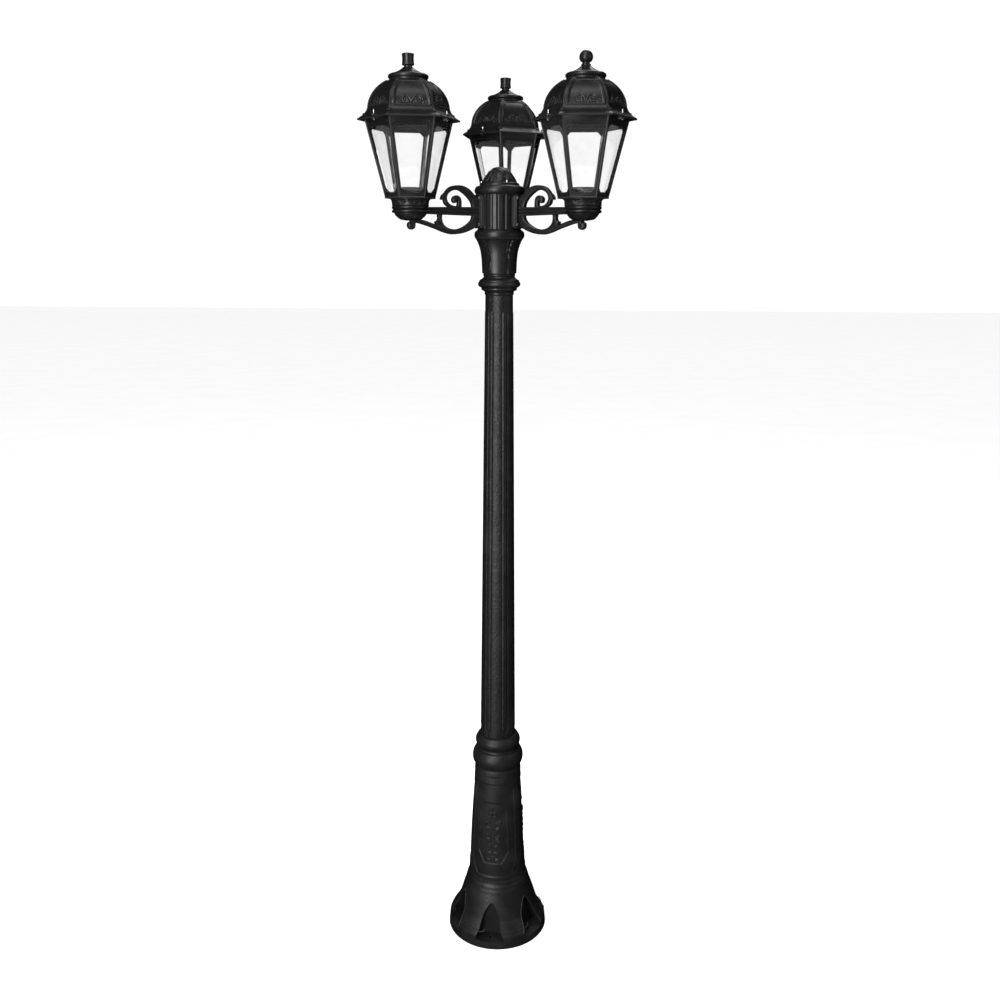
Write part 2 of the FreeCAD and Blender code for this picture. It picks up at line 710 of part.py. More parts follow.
def arm_bar():
    """Grooved hollow bar with the flange that screws to the head."""
    root = FLANGE_SEAT + FLANGE_T
    bar = Part.makeLoft([bar_section(root), bar_section(ARM_REACH - BOWL_R / 2)], True, True)
    half = FLANGE_H / 2
    flange = block(FLANGE_SEAT, root, FLANGE_W / 2, ARM_Z - half, ARM_Z + half)
    upright = [edge for edge in flange.Edges
               if abs(edge.Vertexes[0].X - edge.Vertexes[1].X) > FLANGE_T / 2]
    flange = flange.makeChamfer(FLANGE_CHAMFER, upright)
    tools = flange_screw_cores(FLANGE_SCREW_R + SLIP_FIT)
    tools.append(rod(BAR_BORE_R, (FLANGE_SEAT - OVERRUN, 0, ARM_Z), ARM_REACH, (1, 0, 0)))
    tools.append(pipe(BOWL_R, BOWL_Z - OVERRUN, BOWL_TOP_Z + OVERRUN, ARM_REACH))
    return bar.fuse(flange).cut(tools)


def bar_envelope():
    """Space that the flange and the bar fill, used to cut the scrolls to their seats."""
    root = FLANGE_SEAT + FLANGE_T
    bar = Part.makeLoft([bar_section(root), bar_section(ARM_REACH)], True, True)
    low = ARM_Z - FLANGE_H / 2
    flange = block(0, root, FLANGE_W, low - HEAD_RING_H, low + FLANGE_H + HEAD_RING_H)
    return bar.fuse(flange)


def upper_scroll():
    """Volute that stands on the bar."""
    foot_x = UPPER_START + UPPER_BACK_ARC_R + UPPER_FRONT_ARC_R - UPPER_FOOT_ARC_R
    rest_z = ARM_Z + bar_half_height(foot_x - UPPER_RUN / 2) + SCROLL_T / 2
    crest_z = rest_z + UPPER_FOOT_ARC_R + UPPER_FRONT_ARC_R
    leg_z = crest_z - UPPER_BACK_ARC_R - UPPER_LEG
    strip = Strip((UPPER_START, leg_z), 90, SCROLL_T)
    strip.run(UPPER_LEG).arc(UPPER_BACK_ARC_R, -90).arc(UPPER_FRONT_ARC_R, -90)
    strip.arc(UPPER_FOOT_ARC_R, -90).run(UPPER_RUN)
    strip.arc(UPPER_INNER_ARC_R, -90).arc(UPPER_EYE_ARC_R, -90)
    eye = disc_face(strip.spot.x, strip.spot.z, SCROLL_EYE_R)
    root = FLANGE_SEAT + FLANGE_T
    flange_top = ARM_Z + FLANGE_H / 2 - FLANGE_CHAMFER
    web_z = ARM_Z + bar_half_height(UPPER_START) - OVERRUN
    web_top = leg_z + UPPER_LEG
    web = outline_face([(root, web_z), (UPPER_START, web_z), (UPPER_START, web_top), (root, flange_top)])
    return strip.solid(BAR_W, [eye, web]).cut(bar_envelope())


def lower_scroll():
    """S scroll under the bar: from the flange down, out and up to a hook below the bowl."""
    crest_z = BOWL_Z - SCROLL_T / 2
    low_z = ARM_Z - LOWER_DROP
    root_arc_r = (LOWER_DROP - bar_half_height(LOWER_START)) / (1 - math.cos(math.radians(LOWER_ROOT_ANGLE)))
    root_z = ARM_Z - bar_half_height(LOWER_START)
    strip = Strip((LOWER_START, root_z), -LOWER_ROOT_ANGLE, SCROLL_T)
    strip.arc(root_arc_r, LOWER_ROOT_ANGLE)
    bend = LOWER_RISE_ARC_R + LOWER_CREST_ARC_R
    across = ARM_REACH - LOWER_HOOK_ARC_R / 4 - strip.spot.x
    down = crest_z - low_z - bend
    link = math.sqrt(across ** 2 + down ** 2 - bend ** 2)
    slope = math.degrees(math.atan2(down, across) + math.atan2(bend, link))
    strip.arc(LOWER_RISE_ARC_R, slope)
    link_start, link_way = strip.spot, strip.ahead()
    strip.run(link).arc(LOWER_CREST_ARC_R, -slope)
    strip.arc(LOWER_HOOK_ARC_R, -LOWER_HOOK_TURN)
    eye = disc_face(strip.spot.x, strip.spot.z, SCROLL_EYE_R)
    leg_z = ARM_Z - bar_half_height(LOWER_LEG_REACH) + OVERRUN
    leg = Strip((LOWER_LEG_REACH, leg_z), LOWER_LEG_TURN / 2 - 90, SCROLL_T)
    leg.arc(LOWER_LEG_ARC_R, -LOWER_LEG_TURN)
    apart = link_start - leg.spot
    leg.run(apart.cross(link_way).y / leg.ahead().cross(link_way).y)
    body = strip.solid(BAR_W, leg.faces + [eye])
    return body.cut([bar_envelope(), bowl_skin()])


def bowl_skin():
    """Outer form of the bowl at the arm's end."""
    band_z = BOWL_TOP_Z - BOWL_BAND_H
    mid_z = BOWL_TOP_Z - BOWL_BAND_H / 2
    skin = turned([
        (0, BOWL_Z),
        (BOWL_FOOT_R, BOWL_Z),
        (BOWL_R * 0.62, BOWL_Z + (BOWL_H - BOWL_BAND_H) * 0.42, "via"),
        (BOWL_R - 2, band_z),
        (BOWL_R, band_z + BOWL_BAND_H / 4, "via"),
        (BOWL_R - 1.5, mid_z),
        (BOWL_R, mid_z + BOWL_BAND_H / 4, "via"),
        (BOWL_R - 1, BOWL_TOP_Z),
        (0, BOWL_TOP_Z),
    ])
    skin.translate(Vector(ARM_REACH, 0, 0))
    return skin


def bowl():
    """Bowl with an open top, a boss for the stud and a wire hole towards the bar."""
    floor_z = BOWL_Z + BOWL_WALL
    hollow = turned([
        (0, floor_z + STUD_BOSS_H),
        (STUD_BOSS_R, floor_z + STUD_BOSS_H),
        (STUD_BOSS_R, floor_z),
        (BOWL_FOOT_R + OVERRUN, floor_z),
        (BOWL_R - 2.2 * BOWL_WALL, BOWL_TOP_Z - BOWL_BAND_H),
        (BOWL_R - BOWL_WALL, BOWL_TOP_Z + OVERRUN),
        (0, BOWL_TOP_Z + OVERRUN),
    ])
    hollow.translate(Vector(ARM_REACH, 0, 0))
    stud_hole = pipe(STUD_R + SLIP_FIT, floor_z, BOWL_TOP_Z, ARM_REACH)
    wire_hole = rod(BAR_BORE_R, (ARM_REACH - BOWL_R - OVERRUN, 0, ARM_Z), BOWL_R / 2, (1, 0, 0))
    return bowl_skin().cut([hollow, stud_hole, wire_hole])


def stud():
    """Hollow threaded stud from the bowl's boss up into the lampholder's foot."""
    low = BOWL_Z + BOWL_WALL
    high = BOWL_TOP_Z + STUD_TOP
    wire_slot = rod(STUD_SLOT_R, (ARM_REACH - STUD_R - OVERRUN, 0, ARM_Z), STUD_R + OVERRUN, (1, 0, 0))
    bore = pipe(STUD_BORE_R, low + STUD_FOOT_T, high + OVERRUN, ARM_REACH)
    return pipe(STUD_R, low, high, ARM_REACH).cut([bore, wire_slot])


def arm_screws():
    """Four screws through each flange into the head."""
    screws = []
    head_at = FLANGE_SEAT + FLANGE_T
    for core in flange_screw_cores(FLANGE_SCREW_R):
        centre = core.CenterOfMass
        head_start = (head_at, centre.y, centre.z)
        screws.append(core.fuse(rod(FLANGE_SCREW_HEAD_R, head_start, FLANGE_SCREW_HEAD_H, (1, 0, 0))))
    placed = []
    for angle in ARM_ANGLES.values():
        for screw in screws:
            copy = screw.copy()
            copy.rotate(Vector(0, 0, 0), UP, angle)
            placed.append(copy)
    return Part.makeCompound(placed)


# ---------------------------------------------------------------- lantern (on the Z axis, heights from its seat)
def frame_radius(z):
    """Corner radius of the frame's outer faces at a height over the seat."""
    return FRAME_FOOT_R + (FRAME_TOP_R - FRAME_FOOT_R) * (z - FRAME_Z) / FRAME_H


def face_normal():
    """Outward normal of the frame's face that looks along +X."""
    lean = (FRAME_TOP_R - FRAME_FOOT_R) * HEX_FLAT / FRAME_H
    return Vector(1, 0, -lean).normalize()


def window(grow):
    """Window outline in the +X face, with its four corners cut off, grown by an even lap."""
    low = FRAME_Z + BOTTOM_RAIL_H - grow
    high = ROOF_Z - TOP_RAIL_H + grow
    right = []
    for z, inset in ((low, GUSSET), (low + GUSSET, 0), (high - GUSSET, 0), (high, GUSSET)):
        right.append((z, frame_radius(z) / 2 - POST_FACE_W + grow - inset))
    points = [Vector(frame_radius(z) * HEX_FLAT, half, z) for z, half in right]
    points += [Vector(frame_radius(z) * HEX_FLAT, -half, z) for z, half in reversed(right)]
    return Part.Face(Part.makePolygon(points + [points[0]]))


def lantern_frame():
    """Six-sided tapering frame: posts, rails, gussets, floor and the lugs for the roof's screws."""
    outer = hex_stack([(FRAME_FOOT_R, FRAME_Z), (FRAME_TOP_R, ROOF_Z)])
    inset = FRAME_WALL / HEX_FLAT
    floor_z = FRAME_Z + FRAME_FLOOR_H
    open_z = ROOF_Z + OVERRUN
    inner = hex_stack([(frame_radius(floor_z) - inset, floor_z), (frame_radius(open_z) - inset, open_z)])
    normal = face_normal()
    cutter = window(0).extrude(normal * -(FRAME_WALL + 2 * OVERRUN))
    cutter.translate(normal * OVERRUN)
    tools = [inner, pipe(HOLDER_BARREL_R + SLIP_FIT, FRAME_Z - OVERRUN, floor_z + OVERRUN)] + around(cutter, 6)
    at = cup_screw_radius()
    tools += around(pipe(CUP_SCREW_R + SLIP_FIT, FRAME_Z - OVERRUN, floor_z + OVERRUN, at), 3, 60)
    body = outer.cut(tools)
    lug_root = (frame_radius(ROOF_Z - LUG_T) - inset) * HEX_FLAT
    lug = block(lug_root + FRAME_WALL / 2, LUG_REACH, LUG_W / 2, ROOF_Z - LUG_T, ROOF_Z)
    lug = lug.cut(pipe(ROOF_SCREW_R + RUN_GAP, ROOF_Z - LUG_T - OVERRUN, ROOF_Z + OVERRUN, ROOF_SCREW_APOTHEM))
    return body.multiFuse(around(lug, 3)).removeSplitter()


def lantern_panes():
    """Six clear panes behind the frame's windows."""
    normal = face_normal()
    pane = window(PANE_LAP).extrude(normal * -PANE_T)
    pane.translate(normal * -FRAME_WALL)
    return Part.makeCompound(around(pane, 6))


def cup_screw_radius():
    """Distance of the neck cup's screws from the lantern's axis, just outside the lampholder."""
    return HOLDER_R + SLIP_FIT + CUP_SCREW_HEAD_R


def neck_cup():
    """Cup between the bowl and the frame, open on top, with three screw bosses."""
    body = turned([
        (0, 0),
        (CUP_FOOT_R, 0),
        (CUP_FOOT_R, CUP_H * 0.4),
        (CUP_FOOT_R + 1, CUP_H * 0.7, "via"),
        (CUP_TOP_R, CUP_H * 0.9),
        (CUP_TOP_R, CUP_H),
        (0, CUP_H),
    ])
    hollow = pipe(CUP_FOOT_R - CUP_WALL, CUP_WALL, CUP_H + OVERRUN)
    at = cup_screw_radius()
    bosses = around(pipe(CUP_BOSS_R, CUP_WALL - OVERRUN, CUP_H, at), 3, 60)
    holes = around(pipe(CUP_SCREW_R + SLIP_FIT, CUP_H - CUP_SCREW_DEPTH, CUP_H + OVERRUN, at), 3, 60)
    shell = body.cut(hollow).multiFuse(bosses)
    return shell.cut([pipe(STUD_R + RUN_GAP, -OVERRUN, CUP_WALL + OVERRUN)] + holes).removeSplitter()


def cup_screws():
    """Three screws through the lantern's floor into the neck cup."""
    at = cup_screw_radius()
    seat_z = FRAME_Z + FRAME_FLOOR_H
    screw = pipe(CUP_SCREW_R, CUP_H - CUP_SCREW_DEPTH, seat_z, at)
    screw = screw.fuse(pipe(CUP_SCREW_HEAD_R, seat_z, seat_z + CUP_SCREW_HEAD_H, at))
    return Part.makeCompound(around(screw, 3, 60))


def lampholder():
    """Screw lampholder with its mouth up: a barrel in the neck cup under a broad round flange."""
    floor_z = FRAME_Z + FRAME_FLOOR_H
    mouth_z = floor_z + HOLDER_H
    body = turned([
        (0, CUP_WALL),
        (HOLDER_BARREL_R, CUP_WALL),
        (HOLDER_BARREL_R, floor_z),
        (HOLDER_R, floor_z),
        (HOLDER_R, mouth_z - 3),
        (HOLDER_R - 1, mouth_z - 1, "via"),
        (HOLDER_R - 3, mouth_z),
        (0, mouth_z),
    ])
    socket = pipe(SOCKET_R, mouth_z - SOCKET_DEPTH, mouth_z + OVERRUN)
    return body.cut([socket, pipe(STUD_R + RUN_GAP, 0, mouth_z)])


# ---------------------------------------------------------------- roof (same place as the lantern)
def dome_levels(corner_r, height):
    """Hexagon sizes up an elliptical dome whose foot is at the top of the brim."""
    levels = []
    for step in range(DOME_STEPS + 1):
        angle = math.radians(DOME_CUT * step / DOME_STEPS)
        levels.append((corner_r * math.cos(angle), ROOF_Z + BRIM_RISE + height * math.sin(angle)))
    return levels


def roof_shell():
    """Six-sided dome with a flared brim, hollow and open below."""
    edge = [(BRIM_R, ROOF_Z), (BRIM_R, ROOF_Z + BRIM_EDGE_H), (BRIM_MID_R, ROOF_Z + BRIM_MID_H)]
    outer = hex_stack(edge + dome_levels(DOME_R, DOME_H))
    inner_levels = dome_levels(DOME_R - ROOF_WALL, DOME_H - ROOF_WALL)
    inner = hex_stack([(DOME_R - ROOF_WALL, ROOF_Z - OVERRUN)] + inner_levels)
    boss = pipe(ROOF_BOSS_R, ROOF_Z + BRIM_EDGE_H, ROOF_Z + ROOF_BOSS_TOP, ROOF_SCREW_APOTHEM)
    seat_low = ROOF_Z + ROOF_BOSS_TOP
    hole = pipe(ROOF_SCREW_R + SLIP_FIT, ROOF_Z - OVERRUN, seat_low + OVERRUN, ROOF_SCREW_APOTHEM)
    seat = pipe(ROOF_SCREW_HEAD_R + SLIP_FIT, seat_low, seat_low + ROOF_SCREW_HEAD_H, ROOF_SCREW_APOTHEM)
    body = outer.multiFuse(around(boss, 3))
    stud_hole = pipe(FINIAL_STUD_R + SLIP_FIT, ROOF_Z, ROOF_TOP_Z + OVERRUN)
    return body.cut([inner, stud_hole] + around(hole, 3) + around(seat, 3))


def roof_screws():
    """Three tall cap screws on alternate sides of the brim, down into the frame's lugs."""
    at = ROOF_SCREW_APOTHEM
    seat_z = ROOF_Z + ROOF_BOSS_TOP
    shank = pipe(ROOF_SCREW_R, ROOF_Z - LUG_T - ROOF_SCREW_R, seat_z, at)
    head_shape = turned([
        (0, seat_z),
        (ROOF_SCREW_HEAD_R, seat_z),
        (ROOF_SCREW_HEAD_R, seat_z + ROOF_SCREW_HEAD_H * 0.8),
        (ROOF_SCREW_HEAD_R * 0.8, seat_z + ROOF_SCREW_HEAD_H * 0.95, "via"),
        (ROOF_SCREW_HEAD_R * 0.5, seat_z + ROOF_SCREW_HEAD_H),
        (0, seat_z + ROOF_SCREW_HEAD_H),
    ])
    head_shape.translate(Vector(at, 0, 0))
    return Part.makeCompound(around(shank.fuse(head_shape), 3))


def roof_disc():
    """Stepped disc with a rolled edge on top of the dome."""
    roll_z = ROOF_TOP_Z + DISC_STEP_H
    body = turned([
        (0, ROOF_TOP_Z),
        (DISC_R, ROOF_TOP_Z),
        (DISC_R, roll_z),
        (DISC_ROLL_R, roll_z + DISC_ROLL_H * 0.4, "via"),
        (DISC_ROLL_R - 4.5, roll_z + DISC_ROLL_H),
        (DISC_SHOULDER_R, roll_z + DISC_ROLL_H + DISC_SHOULDER_H),
        (DISC_SEAT_R, DISC_TOP_Z),
        (0, DISC_TOP_Z),
    ])
    return body.cut(pipe(FINIAL_STUD_R + SLIP_FIT, ROOF_TOP_Z - OVERRUN, DISC_TOP_Z + OVERRUN))


def dome_ceiling():
    """Height of the dome's flat ceiling inside."""
    return ROOF_Z + BRIM_RISE + (DOME_H - ROOF_WALL) * math.sin(math.radians(DOME_CUT))


def finial_stud():
    """Stud of a finial, through the disc and the roof to just past its nut."""
    return pipe(FINIAL_STUD_R, dome_ceiling() - FINIAL_NUT_H - FINIAL_STUD_END, DISC_TOP_Z)


def finial_nut():
    """Hexagon nut on the finial's stud under the dome's ceiling."""
    high = dome_ceiling()
    low = high - FINIAL_NUT_H
    bore = pipe(FINIAL_STUD_R, low - OVERRUN, high + OVERRUN)
    return hex_stack([(FINIAL_NUT_R, low), (FINIAL_NUT_R, high)]).cut(bore)


def sleeve_finial():
    """Short waisted sleeve on a neck."""
    low = DISC_TOP_Z + FINIAL_NECK_H
    high = low + SLEEVE_H
    body = turned([
        (0, DISC_TOP_Z),
        (FINIAL_NECK_R, DISC_TOP_Z),
        (FINIAL_NECK_R, low),
        (SLEEVE_R, low),
        (SLEEVE_R, low + 2),
        (SLEEVE_WAIST_R, low + SLEEVE_H / 2, "via"),
        (SLEEVE_R, high - 2),
        (SLEEVE_R - 1, high),
        (0, high),
    ])
    return body.fuse(finial_stud())


def ball_finial():
    """Ball on a beaded neck."""
    bead_z = DISC_TOP_Z + BEAD_H
    ball_z = bead_z + FINIAL_NECK_H / 2
    body = turned([
        (0, DISC_TOP_Z),
        (FINIAL_NECK_R, DISC_TOP_Z),
        (BEAD_R, DISC_TOP_Z + BEAD_H / 2, "via"),
        (FINIAL_NECK_R, bead_z),
        (BALL_NECK_R, ball_z),
        (BALL_R, ball_z + BALL_H * 0.45, "via"),
        (BALL_R * 0.55, ball_z + BALL_H * 0.93),
        (0, ball_z + BALL_H),
    ])
    return body.fuse(finial_stud())


# ---------------------------------------------------------------- placing and writing
def on_arm(shape, side):
    """Turn a piece that is built along +X to its arm."""
    copy = shape.copy()
    copy.rotate(Vector(0, 0, 0), UP, ARM_ANGLES[side])
    return copy


def on_bowl(shape, side):
    """Stand a piece that is built on the Z axis on its bowl, turned as its lantern is."""
    copy = shape.copy()
    copy.rotate(Vector(0, 0, 0), UP, ARM_ANGLES[side] + LANTERN_TWIST[side])
    x, y = polar(ARM_REACH, ARM_ANGLES[side])
    copy.translate(Vector(x, y, BOWL_TOP_Z))
    return copy


def write_post():
    """Write the pieces of the post and its head."""
    export("base_casting", base_casting())
    export("shaft_screws", shaft_screws())
    export("shaft", shaft())
    export("collar", collar())
    export("neck", neck())
    export("head", head())
    export("head_gasket", head_gasket())
    export("head_cap", head_cap())
    export("cap_screws", cap_screws())
    export("terminal_block", terminal_block())
    export("arm_screws", arm_screws())


def write_arms():
    """Write the pieces that are repeated on each arm."""
    pieces = {
        "arm_bar": arm_bar(),
        "upper_scroll": upper_scroll(),
        "lower_scroll": lower_scroll(),
        "bowl": bowl(),
        "stud": stud(),
    }
    for side in ARM_ANGLES:
        for name, shape in pieces.items():
            export(side + "_" + name, on_arm(shape, side))


def write_lanterns():
    """Write the pieces that are repeated on each lantern and its roof."""
    pieces = {
        "frame": lantern_frame(),
        "panes": lantern_panes(),
        "neck_cup": neck_cup(),
        "cup_screws": cup_screws(),
        "lampholder": lampholder(),
        "roof": roof_shell(),
        "roof_screws": roof_screws(),
        "roof_disc": roof_disc(),
        "finial_nut": finial_nut(),
    }
    finials = {"rear": sleeve_finial(), "left": sleeve_finial(), "right": ball_finial()}
    for side in ARM_ANGLES:
        for name, shape in pieces.items():
            export(side + "_" + name, on_bowl(shape, side))
        export(side + "_finial", on_bowl(finials[side], side))


os.makedirs("parts", exist_ok=True)
write_post()
write_arms()
write_lanterns()
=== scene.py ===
"""Looks of a garden lamp post: a ribbed black post with three hexagonal lanterns on scrolled arms.

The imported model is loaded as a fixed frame. Each sub-assembly is a class that models its pieces in
millimetres with Blender's own tools, and hands them over in metres, riding on their body.
"""
import logging
import math
from dataclasses import dataclass
from enum import Enum
from typing import Callable, Optional, Sequence, Union

import bpy
import numpy as np
from mathutils import Matrix, Vector

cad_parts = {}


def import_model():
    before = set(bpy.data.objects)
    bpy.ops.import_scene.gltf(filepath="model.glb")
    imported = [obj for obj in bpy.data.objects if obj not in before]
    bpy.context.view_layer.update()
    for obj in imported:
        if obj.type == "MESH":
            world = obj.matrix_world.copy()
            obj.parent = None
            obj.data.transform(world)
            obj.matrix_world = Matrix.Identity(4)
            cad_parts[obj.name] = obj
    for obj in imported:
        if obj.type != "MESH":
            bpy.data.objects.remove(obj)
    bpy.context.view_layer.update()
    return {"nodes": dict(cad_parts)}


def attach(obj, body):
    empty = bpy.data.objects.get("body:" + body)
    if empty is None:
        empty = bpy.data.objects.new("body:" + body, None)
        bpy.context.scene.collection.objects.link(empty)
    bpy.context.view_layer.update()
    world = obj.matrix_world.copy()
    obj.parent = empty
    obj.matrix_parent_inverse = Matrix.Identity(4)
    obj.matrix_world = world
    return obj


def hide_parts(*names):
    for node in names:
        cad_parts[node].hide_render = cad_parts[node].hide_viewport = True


LOG = logging.getLogger("lamp_post")

# A millimetre in metres, the distance at which doubled points merge, the quarter turn that stands a
# plate up, the sides of a lantern, and the distance to a hexagon's flats as a share of its radius.
MM = 0.001
WELD = 0.02
QUARTER = math.pi / 2
SIDES = 6
FLAT = math.cos(math.pi / 6)

Point = tuple[float, float]
Relief = Callable[[np.ndarray, np.ndarray, np.ndarray], np.ndarray]


class Body(Enum):
    """The fixed body; each lantern and each roof has a body named after its arm."""

    POST = "post"


class Side(Enum):
    """The three arms."""

    REAR = "rear"
    LEFT = "left"
    RIGHT = "right"


class FinialKind(Enum):
    """What stands on a lantern's roof."""

    SLEEVE = "sleeve"
    BALL = "ball"


# ---------------------------------------------------------------- outlines
@dataclass(frozen=True)
class Bend:
    """An arc from an outline's last point through a middle point to an end point."""

    middle: Point
    end: Point
    steps: int = 8


Outline = Sequence[Union[Point, Bend]]


def trace(outline: Outline) -> list[Point]:
    """Turn an outline's arcs into short chords.

    Args:
        outline: Points and bends, in millimetres.

    Returns:
        The outline as points alone.
    """
    points: list[Point] = []
    for item in outline:
        if not isinstance(item, Bend):
            points.append(item)
            continue
        (ax, ay), (bx, by), (cx, cy) = points[-1], item.middle, item.end
        twice = 2 * (ax * (by - cy) + bx * (cy - ay) + cx * (ay - by))
        aa, bb, cc = ax * ax + ay * ay, bx * bx + by * by, cx * cx + cy * cy
        ox = (aa * (by - cy) + bb * (cy - ay) + cc * (ay - by)) / twice
        oy = (aa * (cx - bx) + bb * (ax - cx) + cc * (bx - ax)) / twice
        radius = math.hypot(ax - ox, ay - oy)
        start = math.atan2(ay - oy, ax - ox)
        middle = (math.atan2(by - oy, bx - ox) - start) % math.tau
        sweep = (math.atan2(cy - oy, cx - ox) - start) % math.tau
        if middle > sweep:
            sweep -= math.tau
        for step in range(1, item.steps + 1):
            angle = start + sweep * step / item.steps
            points.append((ox + radius * math.cos(angle), oy + radius * math.sin(angle)))
    return points


def refine(points: Sequence[Point], spacing: float) -> list[Point]:
    """Divide an outline so that no stretch is longer than a spacing.

    Args:
        points: The outline, in millimetres.
        spacing: Longest stretch, in millimetres.

    Returns:
        The divided outline.
    """
    fine = [points[0]]
    for (ax, ay), (bx, by) in zip(points, points[1:]):
        parts = max(1, math.ceil(math.hypot(bx - ax, by - ay) / spacing))
        fine += [(ax + (bx - ax) * k / parts, ay + (by - ay) * k / parts) for k in range(1, parts + 1)]
    return fine


def ease(value: np.ndarray, width: float) -> np.ndarray:
    """Smooth step from 0 at 0 to 1 at a width."""
    share = np.clip(value / width, 0.0, 1.0)
    return share * share * (3.0 - 2.0 * share)


def inside_distance(u: np.ndarray, v: np.ndarray, corners: Sequence[Point]) -> np.ndarray:
    """Distance inwards from the nearest side of a convex outline.

    Args:
        u: Positions across, in millimetres.
        v: Positions up, in millimetres.
        corners: The outline's corners, anticlockwise.

    Returns:
        Positive distances inside the outline and negative ones outside.
    """
    nearest = np.full(u.shape, 1e9)
    for (ax, ay), (bx, by) in zip(corners, list(corners[1:]) + [corners[0]]):
        length = math.hypot(bx - ax, by - ay)
        nearest = np.minimum(nearest, ((by - ay) * (ax - u) + (bx - ax) * (v - ay)) / length)
    return nearest


# ---------------------------------------------------------------- modelling by operators
def select_only(*pieces: bpy.types.Object) -> None:
    """Deselect everything, then select these pieces and make the first one active.

    Args:
        pieces: The pieces to select.
    """
    bpy.ops.object.select_all(action="DESELECT")
    for piece in pieces:
        piece.select_set(True)
    bpy.context.view_layer.objects.active = pieces[0]


def name_active(name: str) -> bpy.types.Object:
    """Name the object that an operator has just added, and its data.

    Args:
        name: The new name.

    Returns:
        The named object.
    """
    piece = bpy.context.object
    piece.name = name
    piece.data.name = name
    return piece


def edit(piece: bpy.types.Object) -> None:
    """Open a piece in edit mode with all of it selected.

    Args:
        piece: The piece to open.
    """
    select_only(piece)
    bpy.ops.object.mode_set(mode="EDIT")
    bpy.ops.mesh.select_all(action="SELECT")


def close_edit() -> None:
    """Go back to object mode."""
    bpy.ops.object.mode_set(mode="OBJECT")


def tidy_mesh(piece: bpy.types.Object) -> None:
    """Merge doubled points and turn all faces outwards.

    Args:
        piece: The piece to clean.
    """
    edit(piece)
    bpy.ops.mesh.remove_doubles(threshold=WELD)
    bpy.ops.mesh.normals_make_consistent(inside=False)
    close_edit()


def apply_modifier(piece: bpy.types.Object, kind: str, **settings: object) -> None:
    """Add a modifier to a piece and apply it.

    Args:
        piece: The piece to change.
        kind: Blender's name of the modifier type.
        settings: The modifier's properties.
    """
    select_only(piece)
    modifier = piece.modifiers.new(kind, kind)
    for key, value in settings.items():
        setattr(modifier, key, value)
    bpy.ops.object.modifier_apply(modifier=modifier.name)


def join(name: str, pieces: Sequence[bpy.types.Object]) -> bpy.types.Object:
    """Join pieces into one and name it.

    Args:
        name: The joined piece's name.
        pieces: The pieces to join.

    Returns:
        The joined piece.
    """
    select_only(*pieces)
    if len(pieces) > 1:
        bpy.ops.object.join()
    return name_active(name)


def copy_of(piece: bpy.types.Object, matrix: Matrix) -> bpy.types.Object:
    """Copy a piece, with a mesh of its own that is moved by a matrix.

    Args:
        piece: The piece to copy.
        matrix: The copy's move, in millimetres.

    Returns:
        The copy.
    """
    twin = piece.copy()
    twin.data = piece.data.copy()
    twin.data.transform(matrix)
    if matrix.determinant() < 0:
        twin.data.flip_normals()
    bpy.context.scene.collection.objects.link(twin)
    return twin


def discard(piece: bpy.types.Object) -> None:
    """Delete a helper piece."""
    bpy.data.objects.remove(piece)


def points_of(piece: bpy.types.Object) -> np.ndarray:
    """The piece's points as rows of x, y, z.

    Args:
        piece: The piece to read.

    Returns:
        An array with a row for each point.
    """
    flat = np.zeros(len(piece.data.vertices) * 3)
    piece.data.vertices.foreach_get("co", flat)
    return flat.reshape(-1, 3)


def move_points(piece: bpy.types.Object, points: np.ndarray) -> None:
    """Put the piece's points at new places."""
    piece.data.vertices.foreach_set("co", points.reshape(-1))
    piece.data.update()


def chain(name: str, points: Sequence[tuple[float, float, float]]) -> bpy.types.Object:
    """Draw a chain of edges by extruding a point from place to place.

    Args:
        name: The chain's name.
        points: Its places in order, in millimetres.

    Returns:
        The chain, which has no faces.
    """
    bpy.ops.object.select_all(action="DESELECT")
    bpy.ops.mesh.primitive_plane_add(size=1.0)
    piece = name_active(name)
    piece.data.transform(Matrix.Translation(points[0]))
    edit(piece)
    bpy.ops.mesh.merge(type="CENTER")
    for start, end in zip(points, points[1:]):
        step = tuple(b - a for a, b in zip(start, end))
        bpy.ops.mesh.extrude_region_move(TRANSFORM_OT_translate={"value": step})
    close_edit()
    return piece


def lathe(name: str, outline: Outline, steps: int = 96, spacing: float = 0.0) -> bpy.types.Object:
    """Spin an outline about the upright axis.

    Args:
        name: The piece's name.
        outline: Radius and height of each point, in millimetres.
        steps: Number of flats round the axis.
        spacing: Longest stretch of the outline, or 0 to leave it as it is.

    Returns:
        The turned piece, its faces outwards.
    """
    points = trace(outline)
    if spacing:
        points = refine(points, spacing)
    piece = chain(name, [(radius, 0.0, height) for radius, height in points])
    edit(piece)
    bpy.ops.mesh.spin(steps=steps, angle=math.tau, center=(0, 0, 0), axis=(0, 0, 1))
    close_edit()
    tidy_mesh(piece)
    return piece


